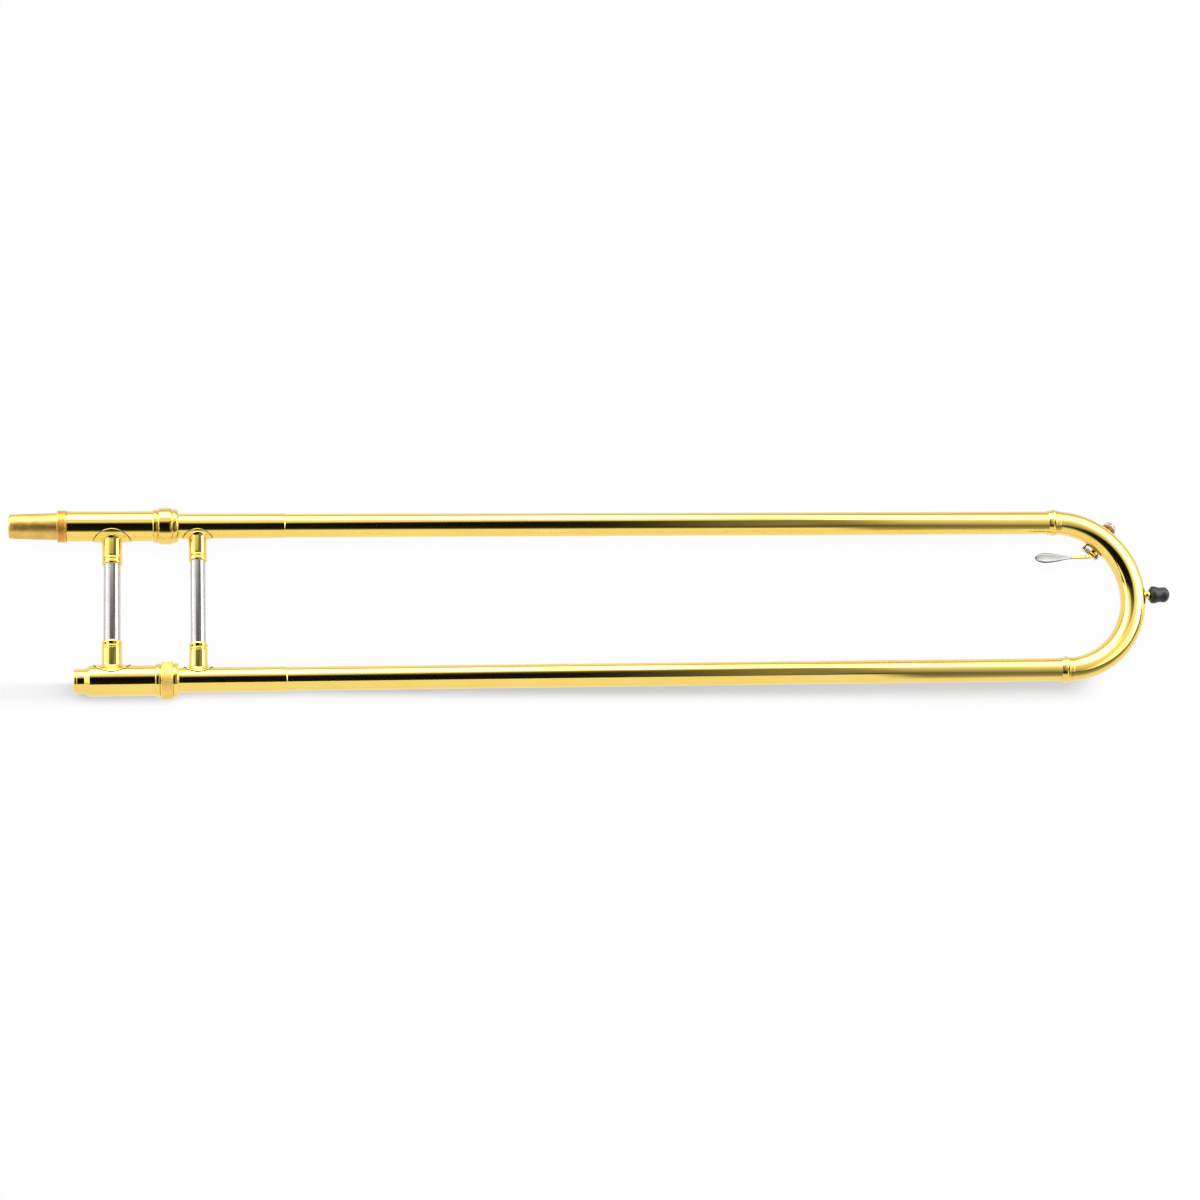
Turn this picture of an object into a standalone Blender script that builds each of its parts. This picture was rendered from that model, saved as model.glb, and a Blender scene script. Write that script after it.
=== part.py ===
"""A trombone hand slide, lying flat.

World axes: +X runs along the slide towards its crook, +Y from the mouthpiece side to the bell side, +Z up.
The origin is at the middle of the slide's bottom, on the surface that its rings rest on.
A "station" is a distance along the slide from the tip of the bell tenon.
"""

import math

import bmesh
import bpy
from mathutils import Matrix, Vector

MM = 0.001

# Shared running and seating gaps
SEAT = 0.1 * MM          # between soldered or pressed pieces
LOOSE = 0.3 * MM         # between pieces that part company
SLIDE_CLEARANCE = 0.2 * MM  # radial, stocking in outer tube
FACETS = 28              # steps round a tube

# Slide tubes
TUBE_SPACING = 105.0 * MM
INNER_BORE_RADIUS = 6.95 * MM
INNER_WALL = 0.25 * MM
STOCKING_RISE = 0.1 * MM
STOCKING_LENGTH = 115.0 * MM
OUTER_WALL = 0.4 * MM
INNER_TUBE_RADIUS = INNER_BORE_RADIUS + INNER_WALL
OUTER_BORE_RADIUS = INNER_TUBE_RADIUS + STOCKING_RISE + SLIDE_CLEARANCE
OUTER_TUBE_RADIUS = OUTER_BORE_RADIUS + OUTER_WALL

# Bell tenon and its collar
TENON_LENGTH = 31.2 * MM
TENON_TIP_RADIUS = 7.35 * MM
TENON_START_RADIUS = 8.05 * MM
TENON_END_RADIUS = 8.9 * MM
TENON_CHAMFER = 2.4 * MM
TENON_TUBE_SEAT = 11.0 * MM
COLLAR_LENGTH = 6.2 * MM
COLLAR_RADIUS = 10.7 * MM
COLLAR_THREAD_DEPTH = 0.35 * MM
COLLAR_THREADS = 5

# Cork barrels
UPPER_BARREL_LENGTH = 68.9 * MM
LOWER_BARREL_LENGTH = 53.3 * MM
BARREL_RADIUS = 10.05 * MM
BARREL_WALL = 0.85 * MM
BARREL_END_PLATE = 1.2 * MM
BARREL_SHOULDER = 3.6 * MM
BARREL_LEDGE = 0.2 * MM    # step up from the receiver to the shoulder's cone
BARREL_END = TENON_LENGTH + COLLAR_LENGTH + UPPER_BARREL_LENGTH
UPPER_BARREL_START = BARREL_END - UPPER_BARREL_LENGTH
LOWER_BARREL_START = BARREL_END - LOWER_BARREL_LENGTH

# Rings round the barrels' open ends
RING_RADIUS = 12.3 * MM
CROWN_LENGTH = 9.6 * MM
CROWN_EDGE_DROP = 0.7 * MM
BEAD_LENGTH = 3.3 * MM
BEAD_RADIUS = 11.1 * MM

# Lock ring on the lower barrel
LOCK_RING_LENGTH = 7.9 * MM
LOCK_LIP_LENGTH = 1.0 * MM
LOCK_LIP_RADIUS = 11.0 * MM
LOCK_POCKET_RADIUS = 11.4 * MM
LOCK_BEARING_LENGTH = 3.5 * MM
LOCK_BEARING_CLEARANCE = 0.25 * MM
RETAINER_LENGTH = 1.3 * MM
RETAINER_RADIUS = 11.15 * MM
LUG_HALF_ANGLE = math.radians(8.0)
NOTCH_SPARE_ANGLE = math.radians(4.0)

# Mouthpiece receiver and leadpipe
RECEIVER_OVERHANG = 10.3 * MM
RECEIVER_LENGTH = 43.3 * MM
RECEIVER_RADIUS = 8.0 * MM
RECEIVER_MOUTH_RADIUS = 6.5 * MM
RECEIVER_THROAT_RADIUS = 6.05 * MM
RECEIVER_TUBE_SEAT = 6.0 * MM
LEADPIPE_LENGTH = 200.0 * MM
LEADPIPE_ENTRY_RADIUS = 5.9 * MM
LEADPIPE_WALL = 0.35 * MM

# Cushions inside the barrels
OUTER_NEST = 7.0 * MM
CORK_LENGTH = 10.5 * MM
FELT_LENGTH = 1.7 * MM

# Outer slide
PARTING_GAP = 0.3 * MM
END_RING_LENGTH = 2.9 * MM
END_RING_RADIUS = 11.35 * MM
END_RING_EDGE_DROP = 0.8 * MM
SLEEVE_LENGTH = 74.0 * MM
SLEEVE_GAP = 0.06 * MM
SLEEVE_WALL = 0.3 * MM
SLEEVE_RADIUS = OUTER_TUBE_RADIUS + SLEEVE_GAP + SLEEVE_WALL
TUBE_REACH = 605.7 * MM  # from the barrels' ends to the crook's centre
CROOK_CENTRE = BARREL_END + TUBE_REACH

# Braces
INNER_BRACE_STATION = BARREL_END - 39.5 * MM
INNER_BRACE_RADIUS = 5.5 * MM
INNER_FLANGE_RADIUS = 12.6 * MM
INNER_SOCKET_REACH = 16.6 * MM
OUTER_BRACE_STATION = BARREL_END + 16.3 * MM
OUTER_BRACE_RADIUS = 4.95 * MM
OUTER_FLANGE_RADIUS = 10.0 * MM
OUTER_SOCKET_REACH = 16.4 * MM
BRACE_WALL = 0.6 * MM
SOCKET_WALL = 1.1 * MM
SOCKET_BEAD_LENGTH = 4.2 * MM
SOCKET_GROOVE_DEPTH = 0.35 * MM
SOCKET_FILLET = 0.9 * MM
FLANGE_THICKNESS = 0.6 * MM
BRACE_SEAT_DEPTH = 9.0 * MM

# Crook and ferrules
CROOK_RADIUS = TUBE_SPACING / 2
CROOK_END_RADIUS = 8.05 * MM
CROOK_SWELL = 0.6 * MM
CROOK_WALL = 0.6 * MM
CROOK_STEPS = 17
CROOK_FIRST_STEP = math.radians(4.0)
FERRULE_LENGTH = 8.3 * MM
FERRULE_BEAD_LENGTH = 5.6 * MM
FERRULE_RADIUS = 9.2 * MM
FERRULE_WALL = 0.3 * MM
FERRULE_BACKSET = 4.8 * MM

# Bumper
STUD_BALL_RADIUS = 2.9 * MM
STUD_BALL_OFFSET = 2.15 * MM
STUD_STEM_RADIUS = 1.7 * MM
STUD_STEM_LENGTH = 9.2 * MM
BUMPER_LENGTH = 14.2 * MM
BUMPER_RADIUS = 6.2 * MM
BUMPER_WAIST_RADIUS = 4.85 * MM

# Water key: angles are round the crook from +X, and round the crook's tube from its outer side
KEY_ANGLE = math.radians(49.5)
NIPPLE_DROP = math.radians(28.0)
NIPPLE_HEIGHT = 2.1 * MM
NIPPLE_RADIUS = 3.2 * MM
WATER_HOLE_RADIUS = 1.3 * MM
KEY_CORK_RADIUS = 4.6 * MM
KEY_CORK_LENGTH = 2.6 * MM
KEY_CUP_RADIUS = 5.2 * MM
KEY_CUP_OVERLAP = 1.5 * MM  # of the cup's rim over the cork
KEY_CUP_WALL_LENGTH = 1.0 * MM
KEY_CUP_DOME = 2.8 * MM
HINGE_INSET = 11.2 * MM  # of the pin from the crook's centre line, towards the inner side
HINGE_DROP = 4.5 * MM
PIN_RADIUS = 0.8 * MM
PIN_CLEARANCE = 0.1 * MM
PIN_HEAD_RADIUS = 1.7 * MM
PIN_HEAD_LENGTH = 1.2 * MM
HINGE_BARREL_RADIUS = 1.9 * MM
HINGE_BARREL_LENGTH = 5.6 * MM
EAR_SPACING = 12.6 * MM
EAR_THICKNESS = 1.2 * MM
EAR_RADIUS = 2.1 * MM
SADDLE_THICKNESS = 0.9 * MM
SADDLE_HALF_WIDTH = 2.5 * MM
SPRING_WIRE_RADIUS = 0.3 * MM
SPRING_COIL_RADIUS = 1.7 * MM
SPRING_PITCH = 1.15 * MM
SPRING_CURLS = 3
SPRING_POINTS_PER_CURL = 10
SPRING_LEAST_GAP = 0.4 * MM
TOUCH_ANGLE = math.radians(41.3)
TOUCH_ARM_ROOT = 1.2 * MM
TOUCH_ARM_LENGTH = 16.0 * MM
TOUCH_ARM_HALF_WIDTH = 1.3 * MM
TOUCH_ARM_HALF_THICKNESS = 0.9 * MM
TOUCH_LENGTH = 28.3 * MM
TOUCH_HALF_WIDTH = 3.5 * MM
TOUCH_NECK_HALF_WIDTH = 1.0 * MM
TOUCH_THICKNESS = 0.9 * MM
CUP_ARM_HALF_WIDTH = 1.9 * MM
CUP_ARM_HALF_THICKNESS = 0.8 * MM
CUP_ARM_CLEARANCE = 0.7 * MM

# Places that follow from the sizes above
LENGTH = (CROOK_CENTRE + CROOK_RADIUS + CROOK_END_RADIUS + CROOK_SWELL + SEAT
          + STUD_BALL_OFFSET + BUMPER_LENGTH + 1.3 * MM)
START_X = -LENGTH / 2
AXIS_Z = RING_RADIUS
UPPER = Vector((START_X, TUBE_SPACING / 2, AXIS_Z))
LOWER = Vector((START_X, -TUBE_SPACING / 2, AXIS_Z))
KEY_TUBE_RADIUS = CROOK_END_RADIUS + CROOK_SWELL * math.cos(KEY_ANGLE)
RECEIVER_START = LOWER_BARREL_START - RECEIVER_OVERHANG
LOWER_TUBE_START = RECEIVER_START + RECEIVER_LENGTH - RECEIVER_TUBE_SEAT + SEAT
UPPER_TUBE_START = TENON_LENGTH - TENON_TUBE_SEAT + COLLAR_LENGTH + SEAT
INNER_TUBE_END = CROOK_CENTRE - 12.0 * MM
HINGE_BARREL_START = -EAR_SPACING / 2 + EAR_THICKNESS / 2 + LOOSE
HINGE_BARREL_MIDDLE = HINGE_BARREL_START + HINGE_BARREL_LENGTH / 2
TOUCH_ROOT = Vector((HINGE_BARREL_START + TOUCH_ARM_ROOT, 0.0, 0.2 * MM))


def clear_scene():
    for old in list(bpy.data.objects):
        bpy.data.objects.remove(old, do_unlink=True)


def make_material(name, colour, roughness, metallic):
    material = bpy.data.materials.new(name)
    material.use_nodes = True
    shader = material.node_tree.nodes["Principled BSDF"]
    shader.inputs["Base Color"].default_value = (*colour, 1.0)
    shader.inputs["Roughness"].default_value = roughness
    shader.inputs["Metallic"].default_value = metallic
    return material


FINISHES = {
    "lacquered_brass": ((0.85, 0.62, 0.22), 0.12, 1.0),
    "raw_brass": ((0.72, 0.52, 0.24), 0.35, 1.0),
    "satin_brass": ((0.80, 0.60, 0.28), 0.45, 1.0),
    "nickel_silver": ((0.72, 0.70, 0.68), 0.18, 1.0),
    "chromed_steel": ((0.80, 0.80, 0.82), 0.08, 1.0),
    "black_rubber": ((0.02, 0.02, 0.022), 0.5, 0.0),
    "cork": ((0.62, 0.36, 0.15), 0.9, 0.0),
    "white_felt": ((0.85, 0.83, 0.78), 0.95, 0.0),
}


def finish_object(obj, finish):
    """Gives a mesh object its own material and shades its round faces smooth."""
    obj.data.materials.append(make_material(obj.name, *FINISHES[finish]))
    obj.data.shade_smooth()
    obj.data.set_sharp_from_angle(angle=math.radians(35))
    return obj


def mesh_from(bm, name):
    bmesh.ops.recalc_face_normals(bm, faces=bm.faces[:])
    mesh = bpy.data.meshes.new(name)
    bm.to_mesh(mesh)
    bm.free()
    return mesh


def place(mesh, name, matrix, finish=None):
    obj = bpy.data.objects.new(name, mesh)
    bpy.context.collection.objects.link(obj)
    obj.matrix_world = matrix
    if finish:
        finish_object(obj, finish)
    return obj


def along_x(origin):
    return Matrix.Translation(origin)


def turned_mesh(name, profile, steps=FACETS):
    """Spins a profile of (station, radius) points round the X axis.

    A profile whose ends lie on the axis makes a solid body; any other is closed on itself and makes a ring.
    """
    bm = bmesh.new()
    points = [bm.verts.new((x, 0.0, r)) for x, r in profile]
    on_axis = profile[0][1] == 0.0
    edges = [bm.edges.new(pair) for pair in zip(points, points[1:])]
    if not on_axis:
        edges.append(bm.edges.new((points[-1], points[0])))
    bmesh.ops.spin(bm, geom=points + edges, cent=(0, 0, 0), axis=(1, 0, 0),
                   angle=math.tau, steps=steps, use_merge=True)
    bmesh.ops.remove_doubles(bm, verts=bm.verts[:], dist=1e-7)
    return mesh_from(bm, name)


def turned(name, profile, matrix, finish, steps=FACETS):
    return place(turned_mesh(name, profile, steps), name, matrix, finish)


def lofted_mesh(name, rings, first_pole=None, last_pole=None, joined=False):
    """Skins rings of equal point counts. The ends are filled, closed to a pole, or joined to each other."""
    bm = bmesh.new()
    loops = [[bm.verts.new(point) for point in ring] for ring in rings]
    count = len(loops[0])
    pairs = list(zip(loops, loops[1:]))
    if joined:
        pairs.append((loops[-1], loops[0]))
    for low, high in pairs:
        for i in range(count):
            j = (i + 1) % count
            bm.faces.new((low[i], low[j], high[j], high[i]))
    if not joined:
        for loop, pole in ((loops[0], first_pole), (loops[-1], last_pole)):
            if pole is None:
                bm.faces.new(loop)
                continue
            tip = bm.verts.new(pole)
            for i in range(count):
                bm.faces.new((loop[i], loop[(i + 1) % count], tip))
    return mesh_from(bm, name)


def box_mesh(name, low, high):
    bm = bmesh.new()
    bmesh.ops.create_cube(bm, size=1.0)
    low, high = Vector(low), Vector(high)
    size = high - low
    fit = Matrix.Translation((low + high) / 2) @ Matrix.Diagonal((*size, 1.0))
    bmesh.ops.transform(bm, matrix=fit, verts=bm.verts)
    return mesh_from(bm, name)


def hide_tool(obj):
    obj.hide_render = True
    obj.display_type = 'WIRE'
    return obj


def combine(obj, tool, operation):
    """Leaves a live Boolean on obj, with tool as its hidden second shape."""
    hide_tool(tool)
    modifier = obj.modifiers.new(tool.name, 'BOOLEAN')
    modifier.operation = operation
    modifier.solver = 'EXACT'
    modifier.object = tool
    return obj


def circle(radius, steps, phase=0.0):
    angles = [phase + math.tau * i / steps for i in range(steps)]
    return [(radius * math.cos(a), radius * math.sin(a)) for a in angles]


def arc_profile(start, end, base, rise, steps):
    """Points of a crowned stretch: the radius rises from base by a half sine between two stations."""
    return [(start + (end - start) * i / steps, base + rise * math.sin(math.pi * i / steps))
            for i in range(steps + 1)]


def group_frame(name, location, rotation_z=0.0):
    empty = bpy.data.objects.new(name, None)
    bpy.context.collection.objects.link(empty)
    empty.empty_display_size = 10 * MM
    empty.matrix_world = Matrix.Translation(location) @ Matrix.Rotation(rotation_z, 4, 'Z')
    return empty


def carry(frame, pieces):
    for piece in pieces:
        piece.parent = frame
        piece.matrix_parent_inverse = frame.matrix_world.inverted()


# Bell tenon, collar and upper barrel


def build_bell_tenon():
    tube_seat = TENON_LENGTH - TENON_TUBE_SEAT + COLLAR_LENGTH
    end = TENON_LENGTH + COLLAR_LENGTH - SEAT
    return turned("bell_tenon", [
        (0.0, INNER_BORE_RADIUS),
        (0.0, TENON_TIP_RADIUS),
        (TENON_CHAMFER / 2, TENON_START_RADIUS - TENON_CHAMFER / 16),
        (TENON_CHAMFER, TENON_START_RADIUS),
        (TENON_LENGTH, TENON_END_RADIUS),
        (end, TENON_END_RADIUS),
        (end, INNER_TUBE_RADIUS + SEAT),
        (tube_seat, INNER_TUBE_RADIUS + SEAT),
        (tube_seat, INNER_BORE_RADIUS),
    ], along_x(UPPER), "raw_brass")


def build_tenon_collar():
    land = COLLAR_LENGTH / (2 * COLLAR_THREADS + 1)
    threads = []
    for i in range(COLLAR_THREADS):
        start = TENON_LENGTH + land * (2 * i + 1)
        threads.append((start, COLLAR_RADIUS))
        threads.append((start + land / 2, COLLAR_RADIUS - COLLAR_THREAD_DEPTH))
        threads.append((start + land, COLLAR_RADIUS))
    end = TENON_LENGTH + COLLAR_LENGTH - SEAT
    bore = TENON_END_RADIUS + SEAT
    return turned("tenon_collar", [(TENON_LENGTH, bore), (TENON_LENGTH, COLLAR_RADIUS), *threads,
                                   (end, COLLAR_RADIUS), (end, bore)], along_x(UPPER), "raw_brass")


def build_upper_barrel():
    start, end = UPPER_BARREL_START, BARREL_END - LOOSE
    hole = INNER_TUBE_RADIUS + SEAT
    inside = BARREL_RADIUS - BARREL_WALL
    return turned("upper_cork_barrel", [
        (start, hole),
        (start, BARREL_RADIUS - LOOSE),
        (start + LOOSE, BARREL_RADIUS),
        (end, BARREL_RADIUS),
        (end, inside),
        (start + BARREL_END_PLATE, inside),
        (start + BARREL_END_PLATE, hole),
    ], along_x(UPPER), "lacquered_brass")


def build_upper_barrel_ring():
    bore = BARREL_RADIUS + SEAT
    crown_start = BARREL_END - CROWN_LENGTH
    bead_start = crown_start - BEAD_LENGTH
    edge = RING_RADIUS - CROWN_EDGE_DROP
    return turned("upper_barrel_ring", [
        (bead_start, bore),
        *arc_profile(bead_start, crown_start, BEAD_RADIUS - 0.5 * MM, 0.5 * MM, 4),
        *arc_profile(crown_start + LOOSE, BARREL_END, edge, CROWN_EDGE_DROP, 8),
        (BARREL_END, bore),
    ], along_x(UPPER), "lacquered_brass")


# Lower barrel, receiver and lock


def build_lower_barrel():
    """The barrel, closed at its start by a cone down to the receiver."""
    start = LOWER_BARREL_START - BARREL_SHOULDER
    neck_end = BARREL_END - LOCK_LIP_LENGTH - 1.2 * MM
    hole = RECEIVER_RADIUS + SEAT
    inside = BARREL_RADIUS - BARREL_WALL
    return turned("lower_cork_barrel", [
        (start, hole),
        (start, hole + BARREL_LEDGE),
        (LOWER_BARREL_START, BARREL_RADIUS),
        (neck_end, BARREL_RADIUS),
        (neck_end, inside),
        (LOWER_BARREL_START + BARREL_END_PLATE, inside),
        (LOWER_BARREL_START + BARREL_END_PLATE, hole),
    ], along_x(LOWER), "lacquered_brass")


def build_lower_bead():
    end = BARREL_END - LOCK_RING_LENGTH - LOOSE
    start = end - BEAD_LENGTH
    bore = BARREL_RADIUS + SEAT
    crown = arc_profile(start, end, BEAD_RADIUS - 0.5 * MM, 0.5 * MM, 4)
    return turned("lower_barrel_bead", [(start, bore), *crown, (end, bore)], along_x(LOWER), "lacquered_brass")


def build_lock_retainer():
    start = BARREL_END - LOCK_RING_LENGTH + LOCK_BEARING_LENGTH + 2 * SEAT
    end = start + RETAINER_LENGTH
    bore = BARREL_RADIUS + SEAT
    return turned("lock_retaining_collar", [(start, bore), (start, RETAINER_RADIUS), (end, RETAINER_RADIUS),
                                            (end, bore)], along_x(LOWER), "raw_brass")


def build_lock_ring():
    """Runs on the barrel's neck. The lug passes the notch in its lip and is caught when the ring turns."""
    start, end = BARREL_END - LOCK_RING_LENGTH, BARREL_END
    bearing = BARREL_RADIUS + LOCK_BEARING_CLEARANCE
    edge = 0.3 * MM
    ring = turned("slide_lock_ring", [
        (start, bearing),
        (start, RING_RADIUS - edge),
        (start + edge, RING_RADIUS),
        (end - edge, RING_RADIUS),
        (end, RING_RADIUS - edge),
        (end, LOCK_LIP_RADIUS),
        (end - LOCK_LIP_LENGTH, LOCK_LIP_RADIUS),
        (end - LOCK_LIP_LENGTH, LOCK_POCKET_RADIUS),
        (start + LOCK_BEARING_LENGTH, LOCK_POCKET_RADIUS),
        (start + LOCK_BEARING_LENGTH, bearing),
    ], along_x(LOWER), "satin_brass")
    half = LOCK_POCKET_RADIUS * math.sin(LUG_HALF_ANGLE + NOTCH_SPARE_ANGLE)
    notch = box_mesh("lock_notch_cutter", (end - LOCK_LIP_LENGTH - SEAT, -half, 0.9 * LOCK_LIP_RADIUS),
                     (end + LOOSE, half, LOCK_POCKET_RADIUS - SEAT / 2))
    return combine(ring, place(notch, "lock_notch_cutter", along_x(LOWER)), 'DIFFERENCE')


def build_receiver():
    start = RECEIVER_START
    end = start + RECEIVER_LENGTH
    rim, edge = 1.5 * MM, 0.35 * MM
    seat = end - RECEIVER_TUBE_SEAT
    return turned("mouthpiece_receiver", [
        (start, RECEIVER_MOUTH_RADIUS),
        (start, RECEIVER_RADIUS - edge),
        (start + edge, RECEIVER_RADIUS),
        (start + rim, RECEIVER_RADIUS),
        (start + rim + edge, RECEIVER_RADIUS - edge / 2),
        (start + rim + 2 * edge, RECEIVER_RADIUS),
        (end, RECEIVER_RADIUS),
        (end, INNER_TUBE_RADIUS + SEAT),
        (seat, INNER_TUBE_RADIUS + SEAT),
        (seat, RECEIVER_THROAT_RADIUS),
    ], along_x(LOWER), "lacquered_brass")


def build_leadpipe():
    start = LOWER_TUBE_START + 2.8 * MM
    end = start + LEADPIPE_LENGTH
    outer = INNER_BORE_RADIUS - SEAT
    exit_radius = outer - LEADPIPE_WALL
    profile = [(start, LEADPIPE_ENTRY_RADIUS), (start, outer), (end, outer), (end, exit_radius)]
    return turned("leadpipe", profile, along_x(LOWER), "raw_brass")


def build_inner_tube(name, start, origin):
    stocking = INNER_TUBE_END - STOCKING_LENGTH
    raised = INNER_TUBE_RADIUS + STOCKING_RISE
    return turned(name, [
        (start, INNER_BORE_RADIUS),
        (start, INNER_TUBE_RADIUS),
        (stocking, INNER_TUBE_RADIUS),
        (stocking + 1.0 * MM, raised),
        (INNER_TUBE_END - 1.0 * MM, raised),
        (INNER_TUBE_END, INNER_TUBE_RADIUS),
        (INNER_TUBE_END, INNER_BORE_RADIUS),
    ], along_x(origin), "chromed_steel")


def build_cushions(side, origin):
    """The cork and the felt washer that the outer slide's end comes to rest on."""
    felt_end = BARREL_END - OUTER_NEST - LOOSE
    felt_start = felt_end - FELT_LENGTH
    cork_end = felt_start - LOOSE
    cork_start = cork_end - CORK_LENGTH
    bore = INNER_TUBE_RADIUS + LOOSE
    outer = BARREL_RADIUS - BARREL_WALL - 2 * SEAT
    pieces = []
    for kind, start, end, finish in (("cork", cork_start, cork_end, "cork"),
                                     ("felt", felt_start, felt_end, "white_felt")):
        profile = [(start, bore), (start, outer), (end, outer), (end, bore)]
        pieces.append(turned(f"{side}_barrel_{kind}", profile, along_x(origin), finish))
    return pieces


# Braces


def wrapped(along, round_by, radius, toward, middle):
    """A point given on a tube's unrolled skin, laid back on the tube."""
    angle = round_by / radius
    return middle + Vector((along, toward * radius * math.cos(angle), radius * math.sin(angle)))


def build_brace_socket(name, station, side, carrier_radius, brace_radius, flange_radius, end_y):
    """A saddle flange laid on its tube, with the socket that the brace tube is soldered into.

    side is +1 for the upper tube and -1 for the lower one. end_y is where the socket ends, from mid slide.
    """
    steps = 24
    toward = -side
    middle = Vector((START_X + station, side * TUBE_SPACING / 2, AXIS_Z))
    under = carrier_radius + SEAT
    top = under + FLANGE_THICKNESS
    body = brace_radius + SEAT + SOCKET_WALL
    mouth = TUBE_SPACING / 2 - end_y
    groove = mouth - SOCKET_BEAD_LENGTH
    floor = mouth - BRACE_SEAT_DEPTH
    angles = [math.tau * i / steps for i in range(steps)]

    def laid(radius):
        return [middle + Vector((flange_radius * math.cos(a),
                                 toward * radius * math.cos(flange_radius * math.sin(a) / top),
                                 radius * math.sin(flange_radius * math.sin(a) / top))) for a in angles]

    def between(share):
        ring = []
        foot = body + SOCKET_FILLET
        for a in angles:
            near = (foot * math.cos(a), top * math.asin(foot * math.sin(a) / top))
            far = (flange_radius * math.cos(a), flange_radius * math.sin(a))
            ring.append(wrapped(far[0] + (near[0] - far[0]) * share, far[1] + (near[1] - far[1]) * share, top,
                                toward, middle))
        return ring

    def fillet(radius, lift):
        ring = []
        for a in angles:
            x, z = radius * math.cos(a), radius * math.sin(a)
            ring.append(middle + Vector((x, toward * (math.sqrt(top ** 2 - z ** 2) + lift), z)))
        return ring

    def level(radius, height):
        return [middle + Vector((c, toward * height, s)) for c, s in circle(radius, steps)]

    bore = brace_radius + SEAT
    rings = [laid(0.9 * under), laid(top), between(0.35), between(0.7), between(1.0),
             fillet(body + SOCKET_FILLET * 0.3, SOCKET_FILLET * 0.35), fillet(body, SOCKET_FILLET),
             level(body, top + SOCKET_FILLET + 0.3 * MM),
             level(body - SEAT, groove - 0.6 * MM),
             level(body - SOCKET_GROOVE_DEPTH, groove - 0.2 * MM),
             level(body - SOCKET_GROOVE_DEPTH, groove + 0.2 * MM),
             level(body, groove + 0.8 * MM), level(body, mouth - 0.4 * MM), level(body - 0.3 * MM, mouth),
             level(bore, mouth), level(bore, floor)]
    mesh = lofted_mesh(name, rings, first_pole=middle + Vector((0, toward * 0.5 * under, 0)),
                       last_pole=middle + Vector((0, toward * floor, 0)))
    socket = place(mesh, name, Matrix.Identity(4), "lacquered_brass")
    half = 1.3 * flange_radius
    seat = turned_mesh(f"{name}_cutter", [(-half, 0.0), (-half, under), (half, under), (half, 0.0)])
    return combine(socket, place(seat, f"{name}_cutter", along_x(middle)), 'DIFFERENCE')


def build_brace(prefix, station, carrier_radius, brace_radius, flange_radius, reach):
    end_y = TUBE_SPACING / 2 - carrier_radius - reach
    pieces = []
    for name, side in (("upper", 1), ("lower", -1)):
        pieces.append(build_brace_socket(f"{prefix}_{name}_socket", station, side, carrier_radius,
                                         brace_radius, flange_radius, end_y))
    half = end_y + BRACE_SEAT_DEPTH - LOOSE
    bore = brace_radius - BRACE_WALL
    across = Matrix.Translation((START_X + station, 0.0, AXIS_Z)) @ Matrix.Rotation(math.pi / 2, 4, 'Z')
    profile = [(-half, bore), (-half, brace_radius), (half, brace_radius), (half, bore)]
    pieces.append(turned(f"{prefix}_tube", profile, across, "nickel_silver"))
    return pieces


# Outer slide


def build_end_ring(name, origin):
    start = BARREL_END + PARTING_GAP
    end = start + END_RING_LENGTH
    bore = SLEEVE_RADIUS + SEAT
    return turned(name, [
        (start, bore),
        (start, END_RING_RADIUS),
        (end - 0.9 * MM, END_RING_RADIUS - 0.2 * MM),
        (end, END_RING_RADIUS - END_RING_EDGE_DROP),
        (end, bore),
    ], along_x(origin), "lacquered_brass")


def build_lower_end_ring():
    """The end ring with its lock lug: a stem that passes under the lock ring's lip, with a nib on its end."""
    ring = build_end_ring("lower_end_ring", LOWER)
    root = BARREL_END + PARTING_GAP + 0.8 * MM
    lip_back = BARREL_END - LOCK_LIP_LENGTH
    tip = lip_back - 1.4 * MM
    low = BARREL_RADIUS + 2.5 * SEAT
    under_lip = LOCK_LIP_RADIUS - 1.5 * SEAT
    nib = LOCK_POCKET_RADIUS - 1.5 * SEAT
    nib_face = lip_back - 2 * SEAT
    outline = [(root, low), (tip, low), (tip, nib), (nib_face, nib), (nib_face, under_lip), (root, under_lip)]
    spread = 4
    rings = []
    for i in range(spread + 1):
        a = -LUG_HALF_ANGLE + 2 * LUG_HALF_ANGLE * i / spread
        rings.append([(x, r * math.sin(a), r * math.cos(a)) for x, r in outline])
    lug = place(lofted_mesh("lock_lug_shape", rings), "lock_lug_shape", along_x(LOWER))
    return combine(ring, lug, 'UNION')


def build_sleeve(name, origin):
    bore = OUTER_TUBE_RADIUS + SLEEVE_GAP
    start, end = BARREL_END - OUTER_NEST, BARREL_END + SLEEVE_LENGTH
    return turned(name, [(start, bore), (start, SLEEVE_RADIUS), (end, SLEEVE_RADIUS), (end, bore)],
                  along_x(origin), "lacquered_brass")


def build_outer_tube(name, origin):
    start, end = BARREL_END - OUTER_NEST + LOOSE, CROOK_CENTRE - 2 * LOOSE
    return turned(name, [(start, OUTER_BORE_RADIUS), (start, OUTER_TUBE_RADIUS), (end, OUTER_TUBE_RADIUS),
                         (end, OUTER_BORE_RADIUS)], along_x(origin), "lacquered_brass")


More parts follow.
